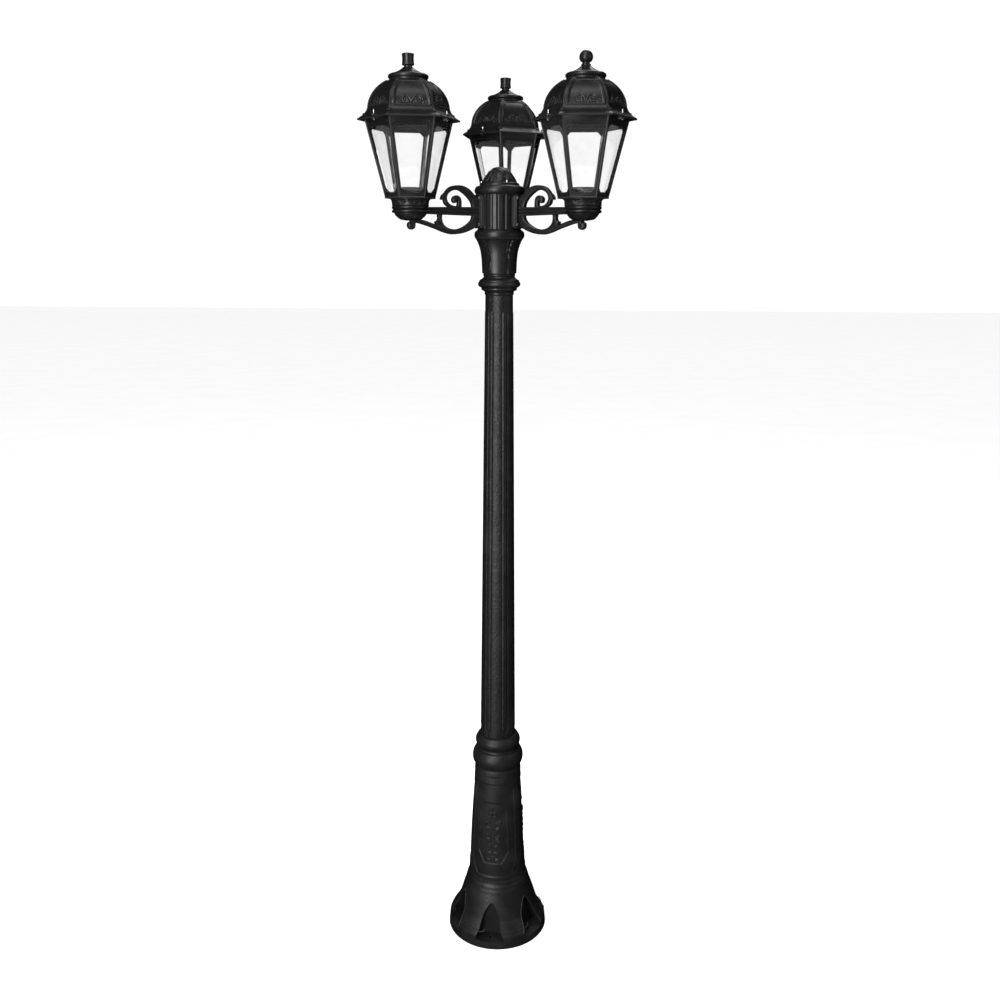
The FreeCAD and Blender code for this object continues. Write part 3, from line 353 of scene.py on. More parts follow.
def plate(name: str, outlines: Sequence[Sequence[Point]], thickness: float,
          rounding: float) -> bpy.types.Object:
    """Cut a flat plate with rounded edges, standing in the XZ plane.

    Args:
        name: The piece's name.
        outlines: The outer outline and then any holes, in millimetres.
        thickness: Thickness along Y, in millimetres.
        rounding: Radius of the rounded edges, in millimetres.

    Returns:
        The plate, even about the XZ plane.
    """
    bpy.ops.object.select_all(action="DESELECT")
    bpy.ops.curve.primitive_bezier_circle_add()
    piece = name_active(name)
    curve = piece.data
    curve.dimensions = "2D"
    curve.splines.clear()
    for outline in outlines:
        spline = curve.splines.new("POLY")
        spline.points.add(len(outline) - 1)
        for spot, (x, z) in zip(spline.points, outline):
            spot.co = (x, z, 0.0, 1.0)
        spline.use_cyclic_u = True
    curve.fill_mode = "BOTH"
    curve.extrude = thickness / 2 - rounding
    curve.bevel_depth = rounding
    curve.bevel_resolution = 2
    curve.offset = -rounding
    select_only(piece)
    bpy.ops.object.convert(target="MESH")
    piece = name_active(name)
    piece.data.transform(Matrix.Rotation(QUARTER, 4, "X"))
    tidy_mesh(piece)
    return piece


def tube(name: str, points: Sequence[tuple[float, float, float]], radii: Sequence[float],
         sides: int = 3) -> bpy.types.Object:
    """Draw a round tube along points, with a radius at each.

    Args:
        name: The piece's name.
        points: The tube's centre line, in millimetres.
        radii: Radius at each point, in millimetres.
        sides: Bevel resolution; the tube has twice as many sides and two more.

    Returns:
        The closed tube.
    """
    bpy.ops.object.select_all(action="DESELECT")
    bpy.ops.curve.primitive_bezier_circle_add()
    piece = name_active(name)
    curve = piece.data
    curve.dimensions = "3D"
    curve.splines.clear()
    spline = curve.splines.new("POLY")
    spline.points.add(len(points) - 1)
    for spot, place, radius in zip(spline.points, points, radii):
        spot.co = (*place, 1.0)
        spot.radius = radius
    curve.bevel_depth = 1.0
    curve.bevel_resolution = sides
    curve.use_fill_caps = True
    select_only(piece)
    bpy.ops.object.convert(target="MESH")
    piece = name_active(name)
    tidy_mesh(piece)
    return piece


def emboss(piece: bpy.types.Object, relief: Relief) -> None:
    """Move each point of a turned piece outwards.

    Args:
        piece: A piece turned about the upright axis.
        relief: Gives the move in millimetres from angle in degrees, height and radius.
    """
    points = points_of(piece)
    radius = np.hypot(points[:, 0], points[:, 1])
    angle = np.degrees(np.arctan2(points[:, 1], points[:, 0]))
    safe = np.maximum(radius, 1e-6)
    grown = np.maximum(radius + relief(angle, points[:, 2], radius), 0.0)
    points[:, 0] *= grown / safe
    points[:, 1] *= grown / safe
    move_points(piece, points)


def around(piece: bpy.types.Object, count: int, first: float = 0.0) -> list[bpy.types.Object]:
    """Replace a piece by copies turned evenly about the upright axis.

    Args:
        piece: The piece to repeat; it is deleted.
        count: Number of copies.
        first: Angle of the first copy, in degrees.

    Returns:
        The copies.
    """
    copies = []
    for index in range(count):
        copies.append(copy_of(piece, Matrix.Rotation(math.radians(first + 360 * index / count), 4, "Z")))
    discard(piece)
    return copies


def sweep_from(angle: np.ndarray, centre: float, count: int) -> np.ndarray:
    """Signed angle from the nearest of evenly spaced centres, in degrees."""
    pitch = 360.0 / count
    return (angle - centre + pitch / 2) % pitch - pitch / 2


# ---------------------------------------------------------------- ornament, modelled flat and laid on
def leaf(length: float, width: float, rise: float, point: float = 1.0) -> bpy.types.Object:
    """Model one flat leaf or petal with a crease, from the origin up along Y.

    Args:
        length: Length, in millimetres.
        width: Greatest width, in millimetres.
        rise: Height over the ground, in millimetres.
        point: How sharply the tip narrows, 0 for a round petal.

    Returns:
        The leaf, facing +Z.
    """
    bpy.ops.object.select_all(action="DESELECT")
    bpy.ops.mesh.primitive_uv_sphere_add(segments=16, ring_count=10, radius=1.0)
    piece = name_active("leaf")
    points = points_of(piece)
    x, y, z = points[:, 0].copy(), points[:, 2].copy(), -points[:, 1].copy()
    narrowing = 1.0 - point * 0.55 * np.clip(y, 0.0, 1.0) ** 2
    points[:, 0] = x * narrowing * width / 2
    points[:, 1] = (y + 1.0) * length / 2
    crease = 1.0 - 0.45 * np.exp(-((x / 0.22) ** 2))
    points[:, 2] = z * rise * crease
    move_points(piece, points)
    tidy_mesh(piece)
    return piece


def dome(radius: float, rise: float) -> bpy.types.Object:
    """Model a low round boss at the origin, facing +Z.

    Args:
        radius: Radius at its foot, in millimetres.
        rise: Height, in millimetres.

    Returns:
        The boss.
    """
    bpy.ops.object.select_all(action="DESELECT")
    bpy.ops.mesh.primitive_uv_sphere_add(segments=16, ring_count=8, radius=1.0)
    piece = name_active("boss")
    piece.data.transform(Matrix.Diagonal((radius, radius, rise, 1.0)))
    return piece


def laid(template: bpy.types.Object, u: float, v: float, turn: float = 0.0,
         size: float = 1.0) -> bpy.types.Object:
    """Copy an ornament to a place on the flat, turned anticlockwise by an angle in degrees.

    Args:
        template: The ornament to copy.
        u: Place across, in millimetres.
        v: Place up, in millimetres.
        turn: Turn anticlockwise, in degrees.
        size: Scale of the copy.

    Returns:
        The copy.
    """
    matrix = (Matrix.Translation((u, v, 0.0)) @ Matrix.Rotation(math.radians(turn), 4, "Z")
              @ Matrix.Scale(size, 4))
    return copy_of(template, matrix)


def spiral(u: float, v: float, start_r: float, end_r: float, start: float, turns: float,
           thick: float) -> bpy.types.Object:
    """Draw a flat volute as a tapering tube.

    Args:
        u: Centre across, in millimetres.
        v: Centre up, in millimetres.
        start_r: Radius at the outer end, in millimetres.
        end_r: Radius at the eye, in millimetres.
        start: Angle of the outer end, in degrees.
        turns: Number of turns, negative for clockwise.
        thick: Tube radius at the outer end, in millimetres.

    Returns:
        The volute.
    """
    steps = max(12, int(abs(turns) * 20))
    points, radii = [], []
    for step in range(steps + 1):
        share = step / steps
        radius = start_r + (end_r - start_r) * share
        angle = math.radians(start) + math.tau * turns * share
        points.append((u + radius * math.cos(angle), v + radius * math.sin(angle), 0.0))
        radii.append(thick * (1.0 - 0.35 * share))
    return tube("spiral", points, radii, 2)


@dataclass(frozen=True)
class Ground:
    """A surface that flat ornament is laid on, from its outline.

    Attributes:
        outline: Radius (or distance to the face) and height along the surface, in millimetres.
        turned: True for a round surface and False for a flat-sided one.
    """

    outline: tuple[Point, ...]
    turned: bool = True

    def lay(self, piece: bpy.types.Object, facing: float, sink: float = 0.0) -> None:
        """Bend flat ornament onto the surface.

        Args:
            piece: Ornament on the flat, X across, Y up the outline from its start, Z outwards.
            facing: Angle that the ornament's middle faces, in degrees.
            sink: How far it is sunk, in millimetres.
        """
        line = np.array(self.outline)
        steps = np.hypot(*np.diff(line, axis=0).T)
        along = np.concatenate([[0.0], np.cumsum(steps)])
        points = points_of(piece)
        reach = np.interp(points[:, 1], along, line[:, 0])
        height = np.interp(points[:, 1], along, line[:, 1])
        slope = np.gradient(line, along, axis=0)
        slope_r = np.interp(points[:, 1], along, slope[:, 0])
        slope_z = np.interp(points[:, 1], along, slope[:, 1])
        norm = np.hypot(slope_r, slope_z)
        lift = points[:, 2] - sink
        out = reach + lift * slope_z / norm
        up = height - lift * slope_r / norm
        base = math.radians(facing)
        if self.turned:
            angle = base + points[:, 0] / np.maximum(reach, 1.0)
            x, y = out * np.cos(angle), out * np.sin(angle)
        else:
            x = out * math.cos(base) - points[:, 0] * math.sin(base)
            y = out * math.sin(base) + points[:, 0] * math.cos(base)
        move_points(piece, np.stack([x, y, up], axis=1))
        tidy_mesh(piece)


# ---------------------------------------------------------------- finishes
class Nodes:
    """A small helper that adds shader nodes to one material and links them."""

    def __init__(self, name: str) -> None:
        """Start a material with a Principled shader.

        Args:
            name: The material's name.
        """
        self.material = bpy.data.materials.new(name)
        self.material.use_nodes = True
        self.tree = self.material.node_tree
        self.shader = self.tree.nodes["Principled BSDF"]
        self.place = self.add("ShaderNodeTexCoord").outputs["Object"]

    def add(self, kind: str, **inputs: object) -> bpy.types.Node:
        """Add a node and set or link its named inputs.

        Args:
            kind: Blender's name of the node type.
            inputs: Values or sockets for its inputs, with _ for a space.

        Returns:
            The node.
        """
        node = self.tree.nodes.new(kind)
        for key, value in inputs.items():
            socket = node.inputs[key.replace("_", " ")]
            if isinstance(value, bpy.types.NodeSocket):
                self.tree.links.new(value, socket)
            else:
                socket.default_value = value
        return node

    def noise(self, size: float, detail: float = 2.0, rough: float = 0.5) -> bpy.types.NodeSocket:
        """Noise whose lumps have a size in millimetres.

        Args:
            size: Size of a lump, in millimetres.
            detail: Number of finer layers.
            rough: Strength of the finer layers.

        Returns:
            The noise's value.
        """
        node = self.add("ShaderNodeTexNoise", Vector=self.place, Scale=1.0 / (size * MM), Detail=detail,
                        Roughness=rough)
        return node.outputs["Fac"]

    def spread(self, value: bpy.types.NodeSocket, low: float, high: float, to_low: float,
               to_high: float) -> bpy.types.NodeSocket:
        """Map a range of values to another, clamped.

        Args:
            value: The value to map.
            low: Value that becomes to_low.
            high: Value that becomes to_high.
            to_low: Result at low.
            to_high: Result at high.

        Returns:
            The mapped value.
        """
        node = self.add("ShaderNodeMapRange", Value=value)
        node.inputs["From Min"].default_value = low
        node.inputs["From Max"].default_value = high
        node.inputs["To Min"].default_value = to_low
        node.inputs["To Max"].default_value = to_high
        return node.outputs["Result"]

    def blend(self, share: bpy.types.NodeSocket, first: object, second: object) -> bpy.types.NodeSocket:
        """Mix two colours by a share.

        Args:
            share: Share of the second colour.
            first: A colour or a socket.
            second: A colour or a socket.

        Returns:
            The mixed colour.
        """
        node = self.tree.nodes.new("ShaderNodeMix")
        node.data_type = "RGBA"
        self.tree.links.new(share, node.inputs["Factor"])
        for socket, value in ((node.inputs[6], first), (node.inputs[7], second)):
            if isinstance(value, bpy.types.NodeSocket):
                self.tree.links.new(value, socket)
            else:
                socket.default_value = value
        return node.outputs[2]

    def bump(self, height: bpy.types.NodeSocket, depth: float, strength: float = 1.0,
             under: Optional[bpy.types.NodeSocket] = None) -> bpy.types.NodeSocket:
        """Bump with a depth in millimetres, over another bump where one is given.

        Args:
            height: The height pattern.
            depth: Depth of the pattern, in millimetres.
            strength: How strongly it shows.
            under: A bump that it lies on, if any.

        Returns:
            The bumped normal.
        """
        node = self.add("ShaderNodeBump", Height=height, Distance=depth * MM, Strength=strength)
        if under is not None:
            self.tree.links.new(under, node.inputs["Normal"])
        return node.outputs["Normal"]

    def set(self, **inputs: object) -> None:
        """Set or link the shader's named inputs.

        Args:
            inputs: Values or sockets for the shader's inputs, with _ for a space.
        """
        for key, value in inputs.items():
            socket = self.shader.inputs[key.replace("_", " ")]
            if isinstance(value, bpy.types.NodeSocket):
                self.tree.links.new(value, socket)
            else:
                socket.default_value = value


@dataclass(frozen=True)
class BlackCoat:
    """Black coat on cast metal: an orange-peel skin, faint dust and worn edges."""

    name: str
    slot: str
    tone: float = 0.0036
    dust_tone: float = 0.017
    peel_size: float = 3.0
    peel_depth: float = 0.35
    sheen_low: float = 0.3
    sheen_high: float = 0.46

    def material(self) -> bpy.types.Material:
        """Build the coat's material.

        Returns:
            The coat's material.
        """
        nodes = Nodes(self.name)
        patches = nodes.noise(70.0, 4.0, 0.6)
        peel = nodes.noise(self.peel_size, 3.0, 0.55)
        grit = nodes.noise(self.peel_size * 0.28, 2.0, 0.5)
        dark = (self.tone, self.tone, self.tone * 1.08, 1.0)
        dusty = (self.dust_tone, self.dust_tone, self.dust_tone * 0.97, 1.0)
        colour = nodes.blend(nodes.spread(patches, 0.5, 0.82, 0.0, 0.4), dark, dusty)
        edge = nodes.add("ShaderNodeNewGeometry").outputs["Pointiness"]
        worn = nodes.add("ShaderNodeMath", Value=nodes.spread(edge, 0.53, 0.6, 0.0, 0.6))
        worn.operation = "MULTIPLY"
        nodes.tree.links.new(nodes.spread(grit, 0.4, 0.65, 0.2, 1.0), worn.inputs[1])
        colour = nodes.blend(worn.outputs[0], colour, (0.032, 0.032, 0.034, 1.0))
        rough = nodes.spread(nodes.noise(22.0, 3.0, 0.6), 0.3, 0.7, self.sheen_low, self.sheen_high)
        skin = nodes.bump(peel, self.peel_depth, 0.9)
        skin = nodes.bump(grit, self.peel_depth * 0.22, 0.7, skin)
        nodes.set(Base_Color=colour, Roughness=rough, Normal=skin)
        nodes.set(Specular_IOR_Level=0.22)
        return nodes.material


@dataclass(frozen=True)
class BrightSteel:
    """Bright turned steel with fine rings of brushing."""

    name: str
    slot: str
    tone: float = 0.38
    rough: float = 0.28

    def material(self) -> bpy.types.Material:
        """Build the steel's material.

        Returns:
            The steel's material.
        """
        nodes = Nodes(self.name)
        brushing = nodes.noise(0.5, 3.0, 0.6)
        stain = nodes.noise(5.0, 3.0, 0.6)
        clean = (self.tone, self.tone, self.tone * 0.97, 1.0)
        dull = (self.tone * 0.55, self.tone * 0.54, self.tone * 0.5, 1.0)
        nodes.set(Base_Color=nodes.blend(nodes.spread(stain, 0.5, 0.75, 0.0, 0.8), clean, dull))
        nodes.set(Roughness=nodes.spread(brushing, 0.3, 0.7, self.rough - 0.08, self.rough + 0.14))
        nodes.set(Normal=nodes.bump(brushing, 0.03, 0.5), Metallic=1.0)
        return nodes.material


@dataclass(frozen=True)
class ClearPane:
    """Clear, faintly grey pane with slight smears and dust."""

    name: str
    slot: str
    tone: float = 0.995

    def material(self) -> bpy.types.Material:
        """Build the pane's material.

        Returns:
            The pane's material.
        """
        nodes = Nodes(self.name)
        smears = nodes.noise(38.0, 4.0, 0.65)
        clean = (self.tone, self.tone, self.tone, 1.0)
        hazy = (self.tone * 0.93, self.tone * 0.93, self.tone * 0.93, 1.0)
        nodes.set(Base_Color=nodes.blend(nodes.spread(smears, 0.45, 0.8, 0.0, 1.0), clean, hazy))
        nodes.set(Roughness=nodes.spread(smears, 0.4, 0.75, 0.01, 0.07))
        nodes.set(Normal=nodes.bump(nodes.noise(90.0, 1.0), 0.05, 0.25))
        nodes.set(Transmission_Weight=1.0, IOR=1.45)
        return nodes.material


@dataclass(frozen=True)
class Moulding:
    """Moulded plastic or rubber with a fine spark texture."""

    name: str
    slot: str
    colour: tuple[float, float, float] = (0.02, 0.02, 0.02)
    rough: float = 0.5

    def material(self) -> bpy.types.Material:
        """Build the moulding's material.

        Returns:
            The moulding's material.
        """
        nodes = Nodes(self.name)
        grain = nodes.noise(0.8, 3.0, 0.6)
        shade = tuple(part * 0.75 for part in self.colour)
        nodes.set(Base_Color=nodes.blend(nodes.spread(nodes.noise(12.0, 3.0), 0.4, 0.75, 0.0, 1.0),
                                         (*self.colour, 1.0), (*shade, 1.0)))
        nodes.set(Roughness=nodes.spread(grain, 0.3, 0.7, self.rough - 0.06, self.rough + 0.12))
        nodes.set(Normal=nodes.bump(grain, 0.05, 0.5))
        return nodes.material


ROUGH_COAT = BlackCoat("rough_coat", "rough_coat", peel_size=5.4, peel_depth=1.6, sheen_low=0.34,
                       sheen_high=0.5)
SATIN_COAT = BlackCoat("satin_coat", "satin_coat", tone=0.004, peel_size=1.8, peel_depth=0.1,
                       sheen_low=0.3, sheen_high=0.42)
BASE_COAT = BlackCoat("base_coat", "rough_coat", peel_size=5.6, peel_depth=0.6, sheen_low=0.4,
                      sheen_high=0.56)
STEEL = BrightSteel("bright_steel", "bright_steel")
DULL_STEEL = BrightSteel("dull_steel", "bright_steel", tone=0.11, rough=0.48)
DARK_STEEL = BrightSteel("black_steel", "black_steel", tone=0.07, rough=0.4)
PANE = ClearPane("clear_panes", "clear_panes")
HOLDER = Moulding("black_plastic", "black_plastic")
BLOCK = Moulding("pale_plastic", "pale_plastic", (0.72, 0.71, 0.66), 0.45)
SEAL = Moulding("seal_rubber", "seal_rubber", (0.025, 0.025, 0.025), 0.75)

Finish = Union[BlackCoat, BrightSteel, ClearPane, Moulding]


class Workshop:
    """Finishes pieces: converts them to metres, dresses them and hands them to the frame."""

    def __init__(self, nodes: dict[str, bpy.types.Object]) -> None:
        """Prepare the finishes.

        Args:
            nodes: The frame's own pieces by name.
        """
        self.nodes = nodes
        self.materials: dict[str, bpy.types.Material] = {}
        self.made = 0

    def material(self, finish: Finish) -> bpy.types.Material:
        """The one material of a finish.

        Args:
            finish: The finish.

        Returns:
            Its material, built on first use.
        """
        if finish.name not in self.materials:
            self.materials[finish.name] = finish.material()
        return self.materials[finish.name]

    def hand_over(self, piece: bpy.types.Object, name: str, body: str, finish: Finish,
                  replaced: Sequence[str] = (), place: Optional[Matrix] = None,
                  crease: float = 35.0) -> bpy.types.Object:
        """Finish a piece that was modelled in millimetres.

        Args:
            piece: The piece.
            name: Its final name.
            body: The body that it rides on.
            finish: Its finish.
            replaced: The frame's nodes that it stands for.
            place: Where it goes, as a matrix in millimetres.
            crease: Angle over which an edge stays sharp, in degrees.

        Returns:
            The finished piece.
        """
        piece.name = name
        piece.data.name = name
        piece.data.transform(Matrix.Scale(MM, 4) @ (place or Matrix.Identity(4)))
        piece.matrix_world = Matrix.Identity(4)
        piece.data.materials.clear()
        piece.data.materials.append(self.material(finish))
        select_only(piece)
        bpy.ops.object.shade_smooth_by_angle(angle=math.radians(crease))
        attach(piece, body)
        if replaced:
            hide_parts(*replaced)
        self.made += 1
        LOG.info("%s: %d faces, rides on %s", name, len(piece.data.polygons), body)
        return piece

    def dress(self, node: str, finish: Finish) -> None:
        """Give one of the frame's own pieces its finish.

        Args:
            node: The node's name.
            finish: Its finish.
        """
        piece = self.nodes[node]
        piece.data.materials.clear()
        piece.data.materials.append(self.material(finish))
        LOG.info("%s: the frame's own shape in %s", node, finish.name)


def flow(points: Sequence[Point], steps: int = 6) -> list[Point]:
    """Draw an even curve through points.

    Args:
        points: The points to pass through, in millimetres.
        steps: Number of chords between two points.

    Returns:
        The curve's points.
    """
    ends = [points[0], *points, points[-1]]
    curve = [points[0]]
    for (ax, ay), (bx, by), (cx, cy), (dx, dy) in zip(ends, ends[1:], ends[2:], ends[3:]):
        for step in range(1, steps + 1):
            t = step / steps
            wa, wb = -0.5 * t + t * t - 0.5 * t ** 3, 1 - 2.5 * t * t + 1.5 * t ** 3
            wc, wd = 0.5 * t + 2 * t * t - 1.5 * t ** 3, -0.5 * t * t + 0.5 * t ** 3
            curve.append((wa * ax + wb * bx + wc * cx + wd * dx, wa * ay + wb * by + wc * cy + wd * dy))
    return curve


def cut_away(piece: bpy.types.Object, tools: Sequence[bpy.types.Object]) -> None:
    """Cut the joined tools out of a piece, and delete them.

    Args:
        piece: The piece to cut.
        tools: The cutters, which are deleted.
    """
    cutter = join("cutter", tools)
    apply_modifier(piece, "BOOLEAN", operation="DIFFERENCE", solver="EXACT", object=cutter)
    discard(cutter)
    tidy_mesh(piece)


def rod(name: str, radius: float, low: float, high: float, at: float = 0.0,
        sides: int = 24) -> bpy.types.Object:
    """Add an upright round cutter between two heights, at a distance along X.

    Args:
        name: The cutter's name.
        radius: Radius, in millimetres.
        low: Height of its lower end, in millimetres.
        high: Height of its upper end, in millimetres.
        at: Distance from the axis, in millimetres.
        sides: Number of flats.

    Returns:
        The cutter.
    """
    bpy.ops.object.select_all(action="DESELECT")
    bpy.ops.mesh.primitive_cylinder_add(vertices=sides, radius=radius, depth=high - low,
                                        location=(at, 0, 0))
    piece = name_active(name)
    piece.data.transform(Matrix.Translation((at, 0, (low + high) / 2)))
    piece.location = (0, 0, 0)
    return piece


# ---------------------------------------------------------------- the post
@dataclass
class Base:
    """Foot with arched recesses, skirt, panelled plinth with flower sprays, and two rings."""

    shop: Workshop
    foot_r: float = 134.0
    bore_r: float = 30.0
    floor_h: float = 10.0
    skirt_top: float = 167.0
    plinth_foot_r: float = 77.5
    plinth_top_r: float = 59.8
    belly: float = 2.6
    plinth_top: float = 486.0
    turn: float = -96.5
    arch_turn: float = -96.0
    arch_count: int = 6
    panel_count: int = 3
    hem_depth: float = 1.8
    field_depth: float = 1.8
    edge_width: float = 1.3
    spray_foot: float = 222.0
    arch_cut: float = 60.0
    arch_mid: float = 118.0
    anchor_r: float = 5.5
    anchor_at: float = 108.0
    lining_r: float = 1.1
    ledge_r: float = 1.2
    ledge_at: float = 124.0

    def surface(self) -> list[Point]:
        """Outer outline of the foot and skirt, from the ground up.

        Returns:
            Radius and height of each point, in millimetres.
        """
        rim = [(132.6, 0.0), Bend((133.7, 0.5), (self.foot_r, 1.8), 3), (131.5, 27.0),
               Bend((130.6, 32.0), (127.6, 36.0), 5)]
        skirt = [Bend((119.6, 49.5), (108.4, 66.5), 8), (105.8, 74.0), (93.0, 116.0), (80.6, 154.5)]
        return trace(rim + skirt + [Bend((78.4, 159.5), (self.plinth_foot_r, self.skirt_top), 4)])

    def foot(self) -> bpy.types.Object:
        """Turn the foot, cut its arches and anchor holes, and line the arches.

        Returns:
            The foot with its trims.
        """
        outer = refine(self.surface(), 3.0)
        inner = [(68.5, self.skirt_top), (80.0, self.floor_h), (self.bore_r, self.floor_h),
                 (self.bore_r, 0.0)]
        body = lathe("foot", [*outer, *inner, outer[0]], 192)
        emboss(body, self.skirt_relief)
        half = [(39.0, 20.0), (37.4, 32.0), (31.6, 43.0),
                *flow([(29.6, 49.0), (26.6, 62.0), (20.0, 84.0), (9.5, 104.0), (0.0, 115.5)], 4)]
        arch_line = half + [(-u, z) for u, z in reversed(half[:-1])]
        arch = plate("arch", [arch_line], self.arch_cut, 0.0)
        arch.data.transform(Matrix.Translation((self.arch_mid, 0, 0)) @ Matrix.Rotation(QUARTER, 4, "Z"))
        anchor = rod("anchor", self.anchor_r, -1.0, 25.0, self.anchor_at)
        cut_away(body, around(arch, self.arch_count, self.arch_turn))
        cut_away(body, around(anchor, self.arch_count, self.arch_turn))
        lining = tube("lining", self.on_skirt(arch_line[1:-1]), [self.lining_r] * (len(arch_line) - 2), 2)
        turns = ((15.5, 42.5), (22.0, 43.5), (30.0, 44.0), (38.0, 43.5), (43.0, 42.5), (44.6, 46.0),
                 (43.8, 50.0))
        ledge_line = flow([(u * self.ledge_at * math.radians(1), z) for u, z in turns], 4)
        ledge = tube("ledge", self.on_skirt(ledge_line), [self.ledge_r] * len(ledge_line), 2)
        trims = (around(lining, self.arch_count, self.arch_turn)
                 + around(ledge, self.arch_count, self.arch_turn))
        return join("foot", [body, *trims])

    def on_skirt(self, line: Sequence[Point]) -> list[tuple[float, float, float]]:
        """Lay a line of (across, height) on the foot's surface, facing +X.

        Args:
            line: Places across and up, in millimetres.

        Returns:
            The places on the surface.
        """
        heights = [z for _, z in self.surface()]
        radii = [r for r, _ in self.surface()]
        places = []
        for u, z in line:
            radius = float(np.interp(z, heights, radii)) + 0.1
            angle = math.asin(max(-1.0, min(1.0, u / radius)))
            places.append((radius * math.cos(angle), u, z))
        return places

    def skirt_relief(self, angle: np.ndarray, z: np.ndarray, radius: np.ndarray) -> np.ndarray:
        """Two fine mouldings round the top of the skirt.

        Args:
            angle: Angle of each point, in degrees; not used.
            z: Height of each point, in millimetres.
            radius: Radius of each point, in millimetres.

        Returns:
            The move outwards of each point, in millimetres.
        """
        outside = radius > 76.5
        beads = 1.3 * np.exp(-(((z - 151.0) / 1.7) ** 2)) + 1.1 * np.exp(-(((z - 139.5) / 1.7) ** 2))
        return beads * outside

    def plinth(self) -> bpy.types.Object:
        """Turn the plinth with its rings, and sink its panels.

        Returns:
            The plinth.
        """
        slope = [(float(self.skin(z)), float(z)) for z in np.linspace(self.skirt_top, self.plinth_top, 24)]
        rings = [
            (60.0, 487.5), (62.8, 490.5), Bend((67.4, 509.0), (62.2, 527.4), 14),
            Bend((59.4, 531.4), (55.0, 533.2), 4),
            (53.8, 535.5), (53.8, 539.4), (54.8, 541.4), Bend((59.4, 553.6), (54.8, 566.6), 12),
            Bend((52.0, 571.2), (48.4, 573.2), 4), (46.2, 573.8),
        ]
        bore = [(45.0, 573.0), (45.5, 500.0), (50.0, 473.0), (68.5, self.skirt_top), slope[0]]
        body = lathe("plinth", refine(slope, 2.2) + trace(rings) + bore, 300)
        emboss(body, self.panel_relief)
        return body

    def skin(self, z: Union[float, np.ndarray]) -> Union[float, np.ndarray]:
        """Radius of the plinth's gently swelling outside at a height.

        Args:
            z: Height, in millimetres.

        Returns:
            The radius, in millimetres.
        """
        share = np.clip((z - self.skirt_top) / (self.plinth_top - self.skirt_top), 0.0, 1.0)
        straight = self.plinth_foot_r + (self.plinth_top_r - self.plinth_foot_r) * share
        return straight + self.belly * np.sin(np.pi * share)

    def panel_relief(self, angle: np.ndarray, z: np.ndarray, radius: np.ndarray) -> np.ndarray:
        """Sunk hem and field of each panel, and the band under the rings.

        Args:
            angle: Angle of each point, in degrees.
            z: Height of each point, in millimetres.
            radius: Radius of each point, in millimetres.

        Returns:
            The move outwards of each point, in millimetres.
        """
        outside = (radius > self.skin(z) - 3.0) & (z < self.plinth_top + 1.0)
        u = np.radians(sweep_from(angle, self.turn, self.panel_count)) * radius
        hem = [(-46.0, 181.0), (46.0, 181.0), (55.0, 193.0), (68.0, 224.0), (58.0, 430.0), (48.0, 448.0)]
        hem += [(-48.0, 448.0), (-58.0, 430.0), (-68.0, 224.0), (-55.0, 193.0)]
        field = [(-25.0, 220.0), (25.0, 220.0), (44.0, 252.0), (36.0, 376.0), (27.0, 395.0)]
        field += [(-27.0, 395.0), (-36.0, 376.0), (-44.0, 252.0)]
        depth = -self.hem_depth * ease(inside_distance(u, z, hem) + self.edge_width / 2, self.edge_width)
        depth -= self.field_depth * ease(inside_distance(u, z, field) + self.edge_width / 2,
                                         self.edge_width)
        band = 0.9 * ease(z - 468.0, 1.8) - 0.9 * ease(z - 481.0, 2.0)
        return (depth + band) * outside

    def spray(self) -> bpy.types.Object:
        """Model one spray of flowers flat: blossoms, leaves, stems and the knot at its foot.

        Returns:
            The spray, facing +Z.
        """
        petal, frond, boss = leaf(9.4, 7.0, 4.0, 0.1), leaf(18.0, 9.0, 3.6), dome(2.8, 4.2)
        pieces = []
        blossoms = ((0.0, 147.0, 1.3), (-13.5, 120.0, 1.05), (13.5, 120.0, 1.05), (-11.0, 84.0, 0.8),
                    (12.0, 78.0, 0.8))
        for u, v, size in blossoms:
            pieces += [laid(petal, u, v, 72 * k + 18, size) for k in range(5)]
            pieces.append(laid(boss, u, v, 0, size))
        fronds = (
            (1.0, 128.0, 42.0, 0.8), (-1.0, 128.0, -42.0, 0.8), (-3.0, 98.0, 62.0, 1.0),
            (3.0, 98.0, -62.0, 1.0), (-6.0, 104.0, 128.0, 0.8), (7.0, 103.0, -128.0, 0.8),
            (-2.0, 62.0, 50.0, 1.1), (2.0, 64.0, -52.0, 1.1), (-9.0, 70.0, 100.0, 0.75),
            (10.0, 64.0, -100.0, 0.75), (-1.0, 42.0, 38.0, 1.0), (1.0, 40.0, -40.0, 1.0),
            (0.0, 30.0, 78.0, 0.8), (0.0, 30.0, -78.0, 0.8), (-3.0, 6.0, 60.0, 0.9), (3.0, 6.0, -60.0, 0.9),
        )
        pieces += [laid(frond, u, v, turn, size) for u, v, turn, size in fronds]
        stems = (
            [(0, 4), (1.5, 35), (-1.5, 70), (1.2, 105), (0, 140)],
            [(0, 66), (-6, 88), (-12, 104), (-13.5, 116)],
            [(0, 66), (7, 90), (12, 104), (13.5, 116)],
            [(-14, 2), (-9, 14), (0, 19), (9, 14), (14, 2)],
        )
        for stem in stems:
            line = flow(stem, 5)
            pieces.append(tube("stem", [(u, v, 0.0) for u, v in line], [1.3] * len(line), 2))
        for helper in (petal, frond, boss):
            discard(helper)
        return join("spray", pieces)

